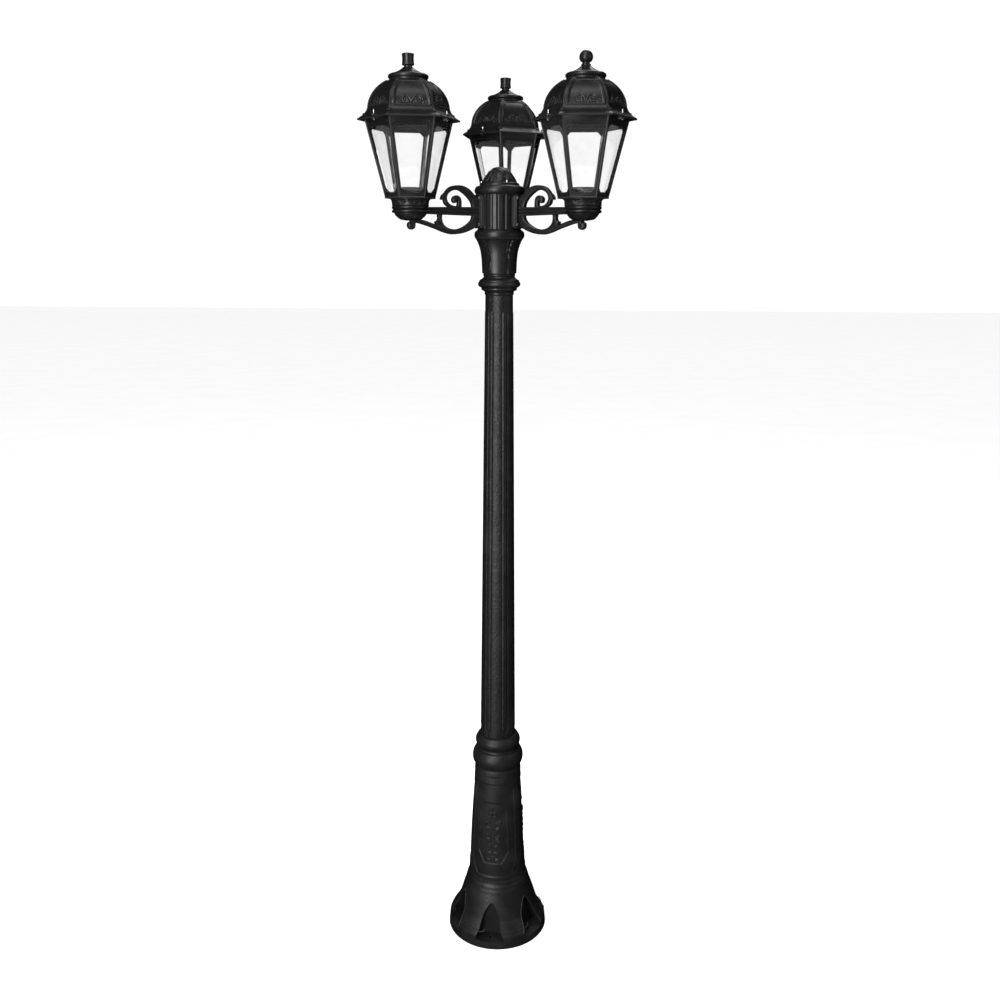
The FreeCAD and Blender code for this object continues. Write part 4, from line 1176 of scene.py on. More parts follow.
    def sprays(self) -> bpy.types.Object:
        """Lay a spray on each panel's field.

        Returns:
            All sprays as one piece.
        """
        template = self.spray()
        sink = self.hem_depth + self.field_depth
        heights = np.linspace(self.spray_foot, self.plinth_top, 20)
        ground = Ground(tuple(zip(self.skin(heights) - sink, heights)))
        laid_on = []
        for index in range(self.panel_count):
            twin = copy_of(template, Matrix.Identity(4))
            ground.lay(twin, self.turn + 360 * index / self.panel_count)
            laid_on.append(twin)
        discard(template)
        return join("plinth_sprays", laid_on)

    def build(self) -> None:
        """Build and dress the base."""
        self.shop.hand_over(self.foot(), "foot", Body.POST.value, BASE_COAT, ["base_casting"])
        self.shop.hand_over(self.plinth(), "plinth", Body.POST.value, BASE_COAT)
        self.shop.hand_over(self.sprays(), "plinth_sprays", Body.POST.value, BASE_COAT)
        self.shop.dress("shaft_screws", DARK_STEEL)


@dataclass
class Shaft:
    """Tapering tube with six long ribs, and the beaded collar on its top."""

    shop: Workshop
    foot_z: float = 574.0
    top_z: float = 1721.0
    foot_r: float = 44.7
    top_r: float = 32.6
    socket_z: float = 501.0
    lap_z: float = 1746.8
    wall: float = 6.5
    rib_count: int = 6
    rib_turn: float = -62.5
    rib_half_angle: float = 8.0
    rib_proud: float = 0.5
    rib_ditch: float = 1.3
    swell: float = 0.9
    rib_low: float = 592.0
    rib_high: float = 1682.0
    rib_edge: float = 2.8

    def radius(self, z: float) -> float:
        """Radius of the plain shaft at a height."""
        return self.foot_r + (self.top_r - self.foot_r) * (z - self.foot_z) / (self.top_z - self.foot_z)

    def tube(self) -> bpy.types.Object:
        """Turn the shaft and raise its ribs.

        Returns:
            The shaft.
        """
        low_end = [self.rib_low - 2 + 1.3 * k for k in range(20)]
        high_end = [self.rib_high + 2 - 1.3 * k for k in range(19, -1, -1)]
        heights = [self.socket_z, self.foot_z + 0.2, self.foot_z + 1.2, *low_end,
                   *np.linspace(630, 1648, 84), *high_end]
        heights += [self.top_z - 1.2, self.top_z - 0.2, self.lap_z]
        outer = [(self.radius(z), z) for z in heights]
        inner = [(self.radius(z) - self.wall, z) for z in (self.lap_z, self.socket_z)]
        body = lathe("shaft", [*outer, *inner, outer[0]], 240)
        emboss(body, self.rib_relief)
        return body

    def rib_relief(self, angle: np.ndarray, z: np.ndarray, radius: np.ndarray) -> np.ndarray:
        """Ribs with half-round ends, each in a shallow ditch, on a shaft that swells past its laps.

        Args:
            angle: Angle of each point, in degrees.
            z: Height of each point, in millimetres.
            radius: Radius of each point, in millimetres.

        Returns:
            The move outwards of each point, in millimetres.
        """
        u = np.radians(sweep_from(angle, self.rib_turn, self.rib_count)) * radius
        half = radius * math.sin(math.radians(self.rib_half_angle))
        past = np.maximum(np.maximum(self.rib_low + half - z, z - self.rib_high + half), 0.0)
        inside = half - np.hypot(u, past)
        outside = radius > np.interp(z, (self.foot_z, self.top_z), (self.foot_r, self.top_r)) - 2.0
        ditch = self.rib_ditch * np.exp(-(((inside + 1.5) / 1.3) ** 2))
        swell = self.swell * ease(z - self.foot_z - 0.2, 1.0) * ease(self.top_z - 0.2 - z, 1.0)
        return (self.rib_proud * ease(inside + 0.3, self.rib_edge) - ditch + swell) * outside

    def collar(self) -> bpy.types.Object:
        """Turn the collar with its five beads.

        Returns:
            The collar.
        """
        outline = [
            (32.8, 1721.0), (34.4, 1721.0), Bend((35.6, 1724.2), (34.5, 1727.4), 6), (36.6, 1729.4),
            (39.4, 1731.0), Bend((42.6, 1733.4), (42.7, 1736.6), 6), (44.0, 1738.4), (46.8, 1739.8),
            Bend((50.7, 1744.6), (49.7, 1751.0), 10), (48.0, 1752.6),
            Bend((47.2, 1755.6), (44.4, 1757.2), 6), (40.8, 1759.6), (38.0, 1762.6), (37.0, 1764.8),
            Bend((38.6, 1767.8), (37.0, 1770.8), 6), (25.2, 1771.0), (25.2, 1747.0), (32.8, 1747.0),
            (32.8, 1721.0),
        ]
        return lathe("collar", outline, 128)

    def build(self) -> None:
        """Build and dress the shaft and the collar."""
        self.shop.hand_over(self.tube(), "ribbed_shaft", Body.POST.value, ROUGH_COAT, ["shaft"])
        self.shop.hand_over(self.collar(), "beaded_collar", Body.POST.value, SATIN_COAT, ["collar"])


@dataclass
class Head:
    """Leafed neck, reeded head with its ring, and the domed cap with its leaves."""

    shop: Workshop
    neck_z: float = 1771.0
    ring_z: float = 1853.0
    barrel_z: float = 1873.0
    barrel_top: float = 1953.0
    barrel_r: float = 51.3
    panel_count: int = 6
    panel_turn: float = -60.0
    reed_count: int = 20
    reed_turn: float = -90.0
    reed_depth: float = 2.2
    seat_x: float = 47.4
    seat_half: float = 20.2
    leaf_count: int = 6
    screw_turn: float = -63.0
    screw_r: float = 42.9
    screw_z: float = 1977.6
    leaf_turn: float = -84.0

    def neck(self) -> bpy.types.Object:
        """Turn the neck and part its six convex leaves.

        Returns:
            The neck.
        """
        flare = [(39.4, 1771.0), (40.6, 1772.0), (41.4, 1796.0)]
        flare += flow([(41.4, 1796.0), (43.2, 1814.0), (45.4, 1826.0), (48.6, 1836.0), (52.6, 1845.0),
                       (57.0, 1853.0)], 5)[1:]
        bore = [(19.0, 1853.0), (19.0, 1701.0), (25.0, 1701.0), (25.0, 1771.0), flare[0]]
        body = lathe("neck", refine(flare, 2.0) + bore, 240)
        emboss(body, self.neck_relief)
        return body

    def neck_relief(self, angle: np.ndarray, z: np.ndarray, radius: np.ndarray) -> np.ndarray:
        """Crowned panels between grooves that widen upwards.

        Args:
            angle: Angle of each point, in degrees.
            z: Height of each point, in millimetres.
            radius: Radius of each point, in millimetres.

        Returns:
            The move outwards of each point, in millimetres.
        """
        offset = np.abs(sweep_from(angle, self.panel_turn, self.panel_count))
        share = np.clip((z - self.neck_z) / (self.ring_z - self.neck_z), 0.0, 1.0)
        half = 3.0 + 7.2 * share ** 2.2
        groove = -3.4 * (1.0 - ease(offset - half + 0.8, 1.6))
        stalk = 1.3 * (1.0 - ease(offset - half * 0.35, 1.4)) * (share > 0.1)
        crown = 0.9 - 1.3 * np.cos(np.radians((30.0 - offset) * 3.0))
        fade = ease(self.ring_z - 1.5 - z, 5.0) * ease(z - self.neck_z, 2.0)
        return (groove + stalk + crown) * fade * (radius > 30.0)

    def barrel(self) -> bpy.types.Object:
        """Turn the head with its ring, cut its reeds and flatten the seats of the arms.

        Returns:
            The head.
        """
        ring = [(57.4, 1853.0), (58.8, 1855.0), Bend((59.6, 1860.4), (58.9, 1866.0), 8), (57.2, 1868.8),
                (53.8, 1870.6), (52.4, 1872.8)]
        heights = (1873.6, 1875.0, 1876.4, 1900.0, 1926.0, 1949.6, 1951.0, 1953.0)
        wall = [(51.3, 1873.0), *[(self.barrel_r, z) for z in heights]]
        bore = [(38.0, 1953.0), (38.0, 1878.0), (12.0, 1878.0), (12.0, 1853.0), ring[0]]
        body = lathe("head", ring + wall + bore, 360)
        emboss(body, self.reed_relief)
        return body

    def reed_relief(self, angle: np.ndarray, z: np.ndarray, radius: np.ndarray) -> np.ndarray:
        """Round grooves between flat reeds, and a flat seat behind each flange.

        Args:
            angle: Angle of each point, in degrees.
            z: Height of each point, in millimetres.
            radius: Radius of each point, in millimetres.

        Returns:
            The move outwards of each point, in millimetres.
        """
        on_wall = (radius > 45.0) & (z > self.barrel_z + 0.3)
        offset = np.radians(sweep_from(angle, self.reed_turn, self.reed_count)) * self.barrel_r
        groove = -self.reed_depth * np.sqrt(np.clip(1.0 - (offset / 4.1) ** 2, 0.0, 1.0))
        grown = radius + groove
        arm = np.radians(sweep_from(angle, 90.0, 3))
        behind = ((np.abs(grown * np.sin(arm)) < self.seat_half) & (z > self.barrel_z + 1.8)
                  & (z < self.barrel_top - 1.8))
        seat = np.minimum(grown, self.seat_x / np.maximum(np.cos(arm), 0.2))
        return (np.where(behind, seat, grown) - radius) * on_wall

    def cap(self) -> bpy.types.Object:
        """Turn the cap and lay two rows of leaves and their beads on its dome.

        Returns:
            The cap with its leaves.
        """
        dome_line = flow([(42.2, 1978.5), (36.2, 1986.5), (30.8, 1995.0), (24.8, 2003.5), (17.2, 2010.4),
                          (9.2, 2013.8), (0.6, 2014.9)], 5)
        outline = [
            (52.6, 1954.5), (52.6, 1951.8), (54.4, 1951.4), Bend((58.9, 1961.2), (53.4, 1970.8), 14),
            (49.8, 1971.6), (47.2, 1972.4), Bend((46.6, 1975.6), (44.6, 1978.0), 5), *dome_line,
            (0.6, 2006.6), (12.0, 2004.5), (30.4, 1987.8), (38.0, 1971.5), (38.0, 1954.5), (52.6, 1954.5),
        ]
        body = lathe("cap", outline, 128)
        ground = Ground(tuple(dome_line))
        broad, slim, bead = leaf(36.0, 22.0, 3.3, 0.9), leaf(25.0, 9.6, 2.7, 1.0), dome(1.9, 2.4)
        pieces = [body]
        pitch = 360 / self.leaf_count
        for index in range(self.leaf_count):
            facing = self.leaf_turn + pitch * index
            for template, at, v in ((broad, 0.0, 2.0), (slim, pitch / 2, 1.0), (bead, pitch / 2, 30.0),
                                    (bead, 0.0, 40.0)):
                piece = laid(template, 0.0, v)
                ground.lay(piece, facing + at, 0.5)
                pieces.append(piece)
            for side in (-1, 1):
                curl = spiral(side * 6.0, 12.0, 4.6, 1.2, 90 - side * 90, side * 1.4, 0.9)
                ground.lay(curl, facing, -1.2)
                pieces.append(curl)
        for helper in (broad, slim, bead):
            discard(helper)
        return join("head_cap", pieces)

    def build(self) -> None:
        """Build and dress the neck, head and cap."""
        self.shop.hand_over(self.neck(), "leafed_neck", Body.POST.value, SATIN_COAT, ["neck"])
        self.shop.hand_over(self.barrel(), "reeded_head", Body.POST.value, SATIN_COAT, ["head"],
                            crease=50.0)
        self.shop.hand_over(self.cap(), "leafed_cap", Body.POST.value, SATIN_COAT, ["head_cap"])
        screws = []
        for index in range(3):
            turn = Matrix.Rotation(math.radians(self.screw_turn + 120 * index), 4, "Z")
            screws.append(moved(tall_screw(2.3, 5.4, 17.0),
                                turn @ Matrix.Translation((self.screw_r, 0, self.screw_z))))
        self.shop.hand_over(join("screws", screws), "cap_step_screws", Body.POST.value, STEEL,
                            ["cap_screws"])
        self.shop.dress("head_gasket", SEAL)
        self.shop.dress("terminal_block", BLOCK)


def moved(piece: bpy.types.Object, matrix: Matrix) -> bpy.types.Object:
    """Move a fresh piece by a matrix and give it back.

    Args:
        piece: The piece to move.
        matrix: Its move, in millimetres.

    Returns:
        The same piece.
    """
    piece.data.transform(matrix)
    return piece


def tall_screw(radius: float, head_h: float, shank: float) -> bpy.types.Object:
    """Turn a tall cap screw with a washer, a chamfered top and a hexagon socket.

    Args:
        radius: Radius of its head, in millimetres.
        head_h: Height of its head, in millimetres.
        shank: Length of its shank below the seat, in millimetres.

    Returns:
        The screw, standing on its seat at the origin.
    """
    shank_r = radius * 0.72
    outline = [
        (0.05, -shank), (shank_r, -shank + 0.6), (shank_r, 0.0), (radius + 1.0, 0.0), (radius + 1.1, 0.3),
        (radius + 1.0, 0.9), (radius, 1.0), (radius, head_h - 0.7),
        Bend((radius - 0.25, head_h - 0.2), (radius - 0.7, head_h), 3),
        (radius * 0.5, head_h), (radius * 0.46, head_h - 0.4), (radius * 0.44, head_h - 1.8),
        (0.05, head_h - 1.9),
    ]
    return lathe("screw", outline, 20)


def flat_screw(radius: float, head_h: float, shank: float) -> bpy.types.Object:
    """Turn a pan head screw with a round recess in its head.

    Args:
        radius: Radius of its head, in millimetres.
        head_h: Height of its head, in millimetres.
        shank: Length of its shank below the seat, in millimetres.

    Returns:
        The screw, standing on its seat at the origin.
    """
    outline = [
        (0.05, -shank), (radius * 0.5, -shank + 0.6), (radius * 0.55, 0.0), (radius, 0.0),
        (radius, head_h * 0.45), Bend((radius * 0.86, head_h * 0.86), (radius * 0.5, head_h), 5),
        (radius * 0.34, head_h), (radius * 0.3, head_h * 0.55), (0.05, head_h * 0.45),
    ]
    return lathe("screw", outline, 24)


# ---------------------------------------------------------------- the arms
@dataclass
class Arm:
    """One arm: grooved bar with its flange, the two scrolls and the bowl at its end."""

    shop: Workshop
    side: Side
    angle: float
    axis_z: float = 1913.0
    reach: float = 225.0
    width: float = 14.0
    rounding: float = 2.6
    root: float = 58.0
    seat: float = 47.5
    flange_half: float = 38.0
    flange_w: float = 40.0
    leaf_count: int = 8

    def turn(self) -> Matrix:
        """Turn from the X axis to the arm's direction."""
        return Matrix.Rotation(math.radians(self.angle), 4, "Z")

    def bar(self) -> bpy.types.Object:
        """Cut the bar's side with a raised band, taper it and add the flange.

        Returns:
            The bar with its flange, along +X.
        """
        bpy.ops.object.select_all(action="DESELECT")
        bpy.ops.mesh.primitive_cube_add(size=1.0)
        body = name_active("bar")
        edit(body)
        bpy.ops.mesh.subdivide(number_cuts=11)
        close_edit()
        points = points_of(body)
        along = (points[:, 0] + 0.5) * (self.reach - 36.0 - self.root) + self.root - 1.0
        half = np.interp(along, (self.root, self.reach - 42.4), (10.2, 8.0))
        level, across = points[:, 2] * 2, points[:, 1] * 2
        levels = (0.0, 0.16, 0.18, 0.34, 0.5, 0.52, 0.84, 1.0)
        cuts = (0.8, 0.8, 0.7, 0.7, 0.7, 1.0, 1.0, 0.86)
        side_cut = np.interp(np.abs(level), levels, cuts)
        side_cut = np.where(np.abs(level) < 0.17, 0.93, side_cut)
        points[:, 0] = along
        points[:, 1] = across * self.width / 2 * side_cut
        points[:, 2] = self.axis_z + level * half * np.interp(np.abs(across), (0.0, 0.83, 1.0),
                                                              (1.0, 1.0, 0.93))
        move_points(body, points)
        half_w, half_h, cut = self.flange_w / 2, self.flange_half, 5.5
        corners = [(-half_w, -half_h + cut), (-half_w + cut, -half_h), (half_w - cut, -half_h),
                   (half_w, -half_h + cut)]
        corners += [(half_w, half_h - cut), (half_w - cut, half_h), (-half_w + cut, half_h),
                    (-half_w, half_h - cut)]
        flange = plate("flange", [corners], self.root - self.seat, 1.6)
        place = (Matrix.Translation(((self.root + self.seat) / 2, 0, self.axis_z))
                 @ Matrix.Rotation(QUARTER, 4, "Z"))
        flange.data.transform(place)
        edges = [[(u * wide, v * tall) for u, v in corners] for wide, tall in ((0.86, 0.93), (0.7, 0.86))]
        rim = plate("rim", edges, 2.2, 0.9)
        rim.data.transform(Matrix.Translation((self.root + 0.4, 0, self.axis_z))
                           @ Matrix.Rotation(QUARTER, 4, "Z"))
        return join("arm_bar", [body, flange, rim])

    def upper(self) -> bpy.types.Object:
        """Cut the upper scroll: a loop from flange to bar, and the comma inside it.

        Returns:
            The upper scroll, along +X.
        """
        outer = [(57.0, 1921.3), (57.0, 1944.0)]
        outer += flow([(57.0, 1944.0), (68.0, 1951.5), (79.0, 1962.0), (94.0, 1969.0), (110.0, 1970.5),
                       (128.0, 1966.4), (141.0, 1954.5), (147.0, 1941.5)], 5)[1:]
        outer += [(150.4, 1937.2), (144.6, 1937.6)]
        outer += flow([(144.6, 1937.6), (142.6, 1930.0), (137.0, 1924.0), (130.0, 1921.3)], 4)[1:]
        inner = [(108.0, 1921.3), (111.0, 1924.2)]
        inner += flow([(111.0, 1924.2), (122.0, 1925.2), (131.0, 1930.0), (136.4, 1939.5), (133.5, 1950.0),
                       (123.5, 1957.6), (109.0, 1959.6), (96.5, 1954.0), (84.4, 1944.4), (75.4, 1933.6),
                       (71.6, 1921.3)], 5)[1:]
        loop = plate("loop", [outer + inner], self.width, self.rounding)
        strip = [(99.6, 1921.3), (99.4, 1934.0)]
        strip += flow([(99.4, 1934.0), (101.5, 1942.4), (107.5, 1947.4), (114.5, 1947.8), (120.6, 1944.4),
                       (123.4, 1938.6), (121.6, 1932.6), (116.6, 1930.4), (111.8, 1932.8),
                       (111.0, 1937.4)], 5)[1:]
        strip += flow([(111.0, 1937.4), (109.0, 1934.0), (109.8, 1927.0), (110.6, 1921.3)], 4)[1:]
        comma = plate("comma", [strip], self.width - 1.5, self.rounding)
        return join("upper_scroll", [loop, comma, *self.eyes(116.6, 1938.0, 5.2),
                                     *self.spurs(149.4, 1937.4, 124.0)])

    def eyes(self, x: float, z: float, radius: float) -> list[bpy.types.Object]:
        """Round bosses on both sides of a scroll's eye.

        Args:
            x: Their distance along the arm, in millimetres.
            z: Their height, in millimetres.
            radius: Their radius, in millimetres.

        Returns:
            The two bosses.
        """
        eyes = []
        for way in (-1, 1):
            boss = dome(radius, 2.4)
            place = Matrix.Translation((x, way * (self.width / 2 - 1.2), z))
            eyes.append(moved(boss, place @ Matrix.Rotation(-way * QUARTER, 4, "X")))
        return eyes

    def spurs(self, x: float, z: float, turn: float) -> list[bpy.types.Object]:
        """Lay a small leaf on each side of a scroll.

        Args:
            x: The leaf's foot along the arm, in millimetres.
            z: The height of its foot, in millimetres.
            turn: The way it points, in degrees up from the arm's direction.

        Returns:
            The two leaves.
        """
        leaves = []
        along, up = math.cos(math.radians(turn)), math.sin(math.radians(turn))
        for way in (-1, 1):
            spur = leaf(18.0, 8.4, 2.4)
            lie = Matrix(((-way * up, along, 0, 0), (0, 0, way, 0), (way * along, up, 0, 0), (0, 0, 0, 1)))
            spur.data.transform(Matrix.Translation((x, way * (self.width / 2 - 0.6), z)) @ lie)
            leaves.append(spur)
        return leaves

    def lower(self) -> bpy.types.Object:
        """Cut the lower scroll: an S from the flange to the bowl, its leg to the bar, and the pendant.

        Returns:
            The lower scroll, along +X.
        """
        line = [(57.0, 1904.3), (57.0, 1881.0)]
        line += flow([(57.0, 1881.0), (72.0, 1872.6), (91.0, 1865.2), (110.0, 1861.4), (127.0, 1861.0),
                      (145.0, 1865.0), (163.0, 1871.6), (181.0, 1877.4), (197.0, 1882.2), (210.0, 1885.0),
                      (223.0, 1885.0)], 5)[1:]
        line += [(223.0, 1892.0)]
        line += flow([(223.0, 1892.0), (206.0, 1893.0), (191.0, 1890.8), (177.0, 1886.4), (164.0, 1882.4)],
                     5)[1:]
        line += [(161.6, 1885.4), (165.4, 1888.6), (160.8, 1891.2)]
        line += flow([(160.8, 1891.2), (158.4, 1897.0), (159.6, 1904.3)], 4)[1:]
        line += [(148.6, 1904.3)]
        line += flow([(148.6, 1904.3), (149.0, 1894.0), (145.0, 1883.4), (134.0, 1875.2), (118.0, 1872.4),
                      (101.0, 1875.6), (85.0, 1884.4), (75.0, 1894.0), (71.4, 1904.3)], 5)[1:]
        body = plate("bow", [line], self.width, self.rounding)
        drop = [(214.6, 1892.0), (214.6, 1880.0)]
        drop += flow([(214.6, 1880.0), (216.8, 1873.4), (223.6, 1870.2), (230.6, 1872.6), (233.6, 1879.0),
                      (232.0, 1885.6), (227.0, 1888.4)], 5)[1:]
        drop += [(226.6, 1892.0)]
        pendant = plate("pendant", [drop], self.width + 2.0, 4.6)
        return join("lower_scroll", [body, pendant, *self.eyes(226.4, 1879.6, 5.6),
                                     *self.spurs(165.4, 1888.6, 205.0)])

    def bowl(self) -> bpy.types.Object:
        """Turn the ringed bowl and lay small leaves under it.

        Returns:
            The bowl, in its place at the end of an arm along +X.
        """
        under = flow([(9.4, 1890.0), (17.0, 1891.2), (25.5, 1894.0), (32.0, 1898.4), (36.2, 1904.0)], 5)
        outline = [
            (1.0, 1890.0), *under, (36.8, 1906.0), (39.6, 1906.8), Bend((42.4, 1910.2), (40.0, 1913.4), 8),
            (39.2, 1914.2), (40.0, 1914.9), Bend((42.5, 1918.2), (40.9, 1921.2), 8), (40.2, 1922.0),
            (38.4, 1922.0), (33.6, 1907.0), (11.0, 1894.0), (1.0, 1894.0), (1.0, 1890.0),
        ]
        body = lathe("bowl", outline, 96)
        ground = Ground(tuple(under))
        frond = leaf(19.0, 9.5, 1.7)
        pieces = [body]
        for index in range(self.leaf_count):
            piece = laid(frond, 0.0, 8.0)
            ground.lay(piece, 360 * index / self.leaf_count, 0.4)
            pieces.append(piece)
        discard(frond)
        return moved(join("bowl", pieces), Matrix.Translation((self.reach, 0, 0)))

    def build(self) -> None:
        """Build and dress the arm."""
        name = self.side.value
        parts = (
            ("grooved_bar", self.bar(), "arm_bar"), ("top_volute", self.upper(), "upper_scroll"),
            ("under_volute", self.lower(), "lower_scroll"), ("ringed_bowl", self.bowl(), "bowl"),
        )
        for title, piece, node in parts:
            self.shop.hand_over(piece, f"{name}_{title}", Body.POST.value, SATIN_COAT, [f"{name}_{node}"],
                                self.turn())
        self.shop.dress(f"{name}_stud", STEEL)


# ---------------------------------------------------------------- the lanterns
@dataclass(frozen=True)
class Spot:
    """Where a lantern stands: above the end of its arm, turned by its own angle."""

    angle: float
    twist: float
    reach: float = 225.0
    base_z: float = 1922.0

    def matrix(self) -> Matrix:
        """Place of anything that is modelled about the lantern's own axis, in millimetres.

        Returns:
            The place as a matrix.
        """
        along = math.radians(self.angle)
        stand = Matrix.Translation((self.reach * math.cos(along), self.reach * math.sin(along),
                                    self.base_z))
        return stand @ Matrix.Rotation(math.radians(self.angle + self.twist), 4, "Z")


@dataclass
class Lantern:
    """Cup, six-sided glazed frame, lampholder and panes."""

    shop: Workshop
    side: Side
    spot: Spot
    foot_r: float = 56.5
    top_r: float = 98.5
    low: float = 16.0
    high: float = 184.0
    wall: float = 6.0
    post_w: float = 7.0
    foot_rail: float = 12.0
    top_rail: float = 19.5
    gusset: float = 9.0
    hole_r: float = 19.6
    lug_half: float = 7.0
    lug_t: float = 6.0
    lug_reach: float = 98.4
    screw_at: float = 92.0
    screw_r: float = 2.4
    leaf_count: int = 10

    def corner_r(self, z: float) -> float:
        """Corner radius of the frame at a height."""
        return self.foot_r + (self.top_r - self.foot_r) * (z - self.low) / (self.high - self.low)

    def on_face(self, sink: float) -> Matrix:
        """Bring a plate's middle plane to the face that looks along +X, sunk by a distance.

        Args:
            sink: Distance behind the face's front, in millimetres.

        Returns:
            The move as a matrix.
        """
        lean = (self.top_r - self.foot_r) * FLAT
        slope = Vector((lean, 0, self.high - self.low)).normalized()
        inward = Vector((-slope.z, 0, slope.x))
        turn = Matrix(((0, inward.x, slope.x, 0), (1, 0, 0, 0), (0, inward.z, slope.z, 0), (0, 0, 0, 1)))
        foot = Vector((self.foot_r * FLAT, 0, self.low)) + inward * sink
        return Matrix.Translation(foot) @ turn

    def face_point(self, half: float, z: float) -> Point:
        """A height on the lantern as a place on the leaning face."""
        lean = (self.top_r - self.foot_r) * FLAT / (self.high - self.low)
        return (half, (z - self.low) * math.hypot(1.0, lean))

    def window(self, grow: float) -> list[Point]:
        """Draw the window's outline with cut corners.

        Args:
            grow: How far it is grown on all sides, in millimetres.

        Returns:
            Its corners on the leaning face.
        """
        low, high = self.low + self.foot_rail - grow, self.high - self.top_rail + grow
        right = [(low, self.gusset), (low + self.gusset, 0.0), (high - self.gusset, 0.0),
                 (high, self.gusset)]
        halves = [(self.corner_r(z) / 2 - self.post_w + grow - inset, z) for z, inset in right]
        mirrored = [(-half, z) for half, z in reversed(halves)]
        return [self.face_point(half, z) for half, z in halves + mirrored]

    def face(self) -> bpy.types.Object:
        """Cut one face of the frame with its window, and set a raised line round the window.

        Returns:
            The face, looking along +X.
        """
        ends = ((1, self.low), (1, self.high), (-1, self.high), (-1, self.low))
        outer = [self.face_point(side * self.corner_r(z) / 2, z) for side, z in ends]
        panel = plate("face", [outer, self.window(0.0)], self.wall, 0.9)
        panel.data.transform(self.on_face(self.wall / 2))
        line = plate("line", [self.window(2.6), self.window(0.8)], 2.0, 0.6)
        line.data.transform(self.on_face(0.3))
        bosses = []
        for side in (-1, 1):
            sill = self.high - self.top_rail
            half, rise = self.face_point(self.corner_r(sill) / 2 - self.post_w - 1.5, sill + 8.5)
            place = self.on_face(0.2) @ Matrix.Translation((side * half, 0, rise))
            bosses.append(moved(dome(2.5, 1.5), place @ Matrix.Rotation(QUARTER, 4, "X")))
        return join("face", [panel, line, *bosses])

    def frame(self) -> bpy.types.Object:
        """Join the six faces, the corner beads, the floor and the lugs.

        Returns:
            The frame, about the lantern's own axis.
        """
        bead = tube("bead", [(self.foot_r - 1.9, 0, self.low + 1), (self.top_r - 2.3, 0, self.high - 1)],
                    [2.3, 2.7], 3)
        low, foot_r, hole_r = self.low, self.foot_r, self.hole_r
        sole = [(hole_r, low), (foot_r - 1.0, low), (foot_r - 0.2, low + 4.0), (hole_r, low + 4.0),
                (hole_r, low)]
        floor = lathe("floor", sole, SIDES)
        roll = [(foot_r - 2.0, low + 0.2), Bend((foot_r + 1.5, low + 1.6), (foot_r - 1.0, low + 3.6), 5),
                (foot_r - 2.0, low + 0.2)]
        skirting = lathe("skirting", roll, SIDES)
        for hexagon in (floor, skirting):
            hexagon.data.transform(Matrix.Rotation(math.radians(30), 4, "Z"))
        root = self.corner_r(self.high) * FLAT - self.wall + 1.5
        half, tip = self.lug_half, self.lug_reach - 5.0
        nose = trace([(root, -half), (tip, -half), Bend((self.lug_reach, 0.0), (tip, half), 10),
                      (root, half)])
        steps = [math.radians(a) for a in range(0, 360, 30)]
        hole = [(self.screw_at + self.screw_r * math.cos(a), self.screw_r * math.sin(a)) for a in steps]
        lug = plate("lug", [nose, hole], self.lug_t, 0.8)
        lug.data.transform(Matrix.Translation((0, 0, self.high - self.lug_t / 2))
                           @ Matrix.Rotation(QUARTER, 4, "X"))
        sides = [*around(self.face(), SIDES), *around(bead, SIDES, 30)]
        return join("frame", [*sides, floor, skirting, *around(lug, 3)])

    def cup(self) -> bpy.types.Object:
        """Turn the cup and lay crossing leaves round it.

        Returns:
            The cup.
        """
        wall = flow([(41.0, 2.4), (41.0, 6.4), (42.0, 10.6), (44.6, 13.6)], 4)
        outline = [(40.6, 0.2), Bend((42.2, 1.2), (41.0, 2.4), 5), *wall[1:], (45.4, 14.2), (45.6, 15.0),
                   (45.2, 15.9), (37.5, 15.9), (37.5, 3.5), (5.4, 3.5), (5.4, 0.2), (40.6, 0.2)]
        body = lathe("cup", outline, 96)
        ground = Ground(tuple([(41.0, 0.0), *wall, (45.5, 15.8)]))
        frond = leaf(19.0, 6.6, 1.5)
        pieces = [body]
        for index in range(self.leaf_count * 2):
            tilt = 52.0 if index % 2 else -52.0
            piece = laid(frond, 7.0 * (1 if tilt > 0 else -1), 1.6, tilt)
            ground.lay(piece, 180 * index / self.leaf_count, 0.3)
            pieces.append(piece)
        discard(frond)
        return join("neck_cup", pieces)

    def lampholder(self) -> bpy.types.Object:
        """Turn the lampholder: barrel, broad flange with a groove, and open mouth.

        Returns:
            The lampholder.
        """
        outline = [
            (18.9, 3.6), (18.9, 20.0), (32.4, 20.0), (32.4, 27.5), (31.6, 28.2), (31.6, 29.2), (32.4, 29.9),
            (32.4, 37.0), Bend((31.6, 39.2), (29.4, 40.0), 5), (25.0, 40.0), (24.4, 39.2), (16.2, 39.2),
            (15.4, 40.0), (14.9, 39.6), (14.6, 11.2), (5.2, 11.2), (5.2, 3.6), (18.9, 3.6),
        ]
        return lathe("lampholder", outline, 72)

    def shell(self) -> bpy.types.Object:
        """Turn the threaded metal shell in the lampholder's mouth.

        Returns:
            The metal shell.
        """
        heights = np.linspace(13.0, 38.6, 44)
        outer = [(14.05 + 0.45 * math.cos(math.tau * z / 3.6), float(z)) for z in heights]
        inner = [(radius - 0.5, z) for radius, z in reversed(outer)]
        return lathe("shell", [*outer, *inner, (5.4, 12.6), (5.4, 12.0), (13.6, 12.0), outer[0]], 48)

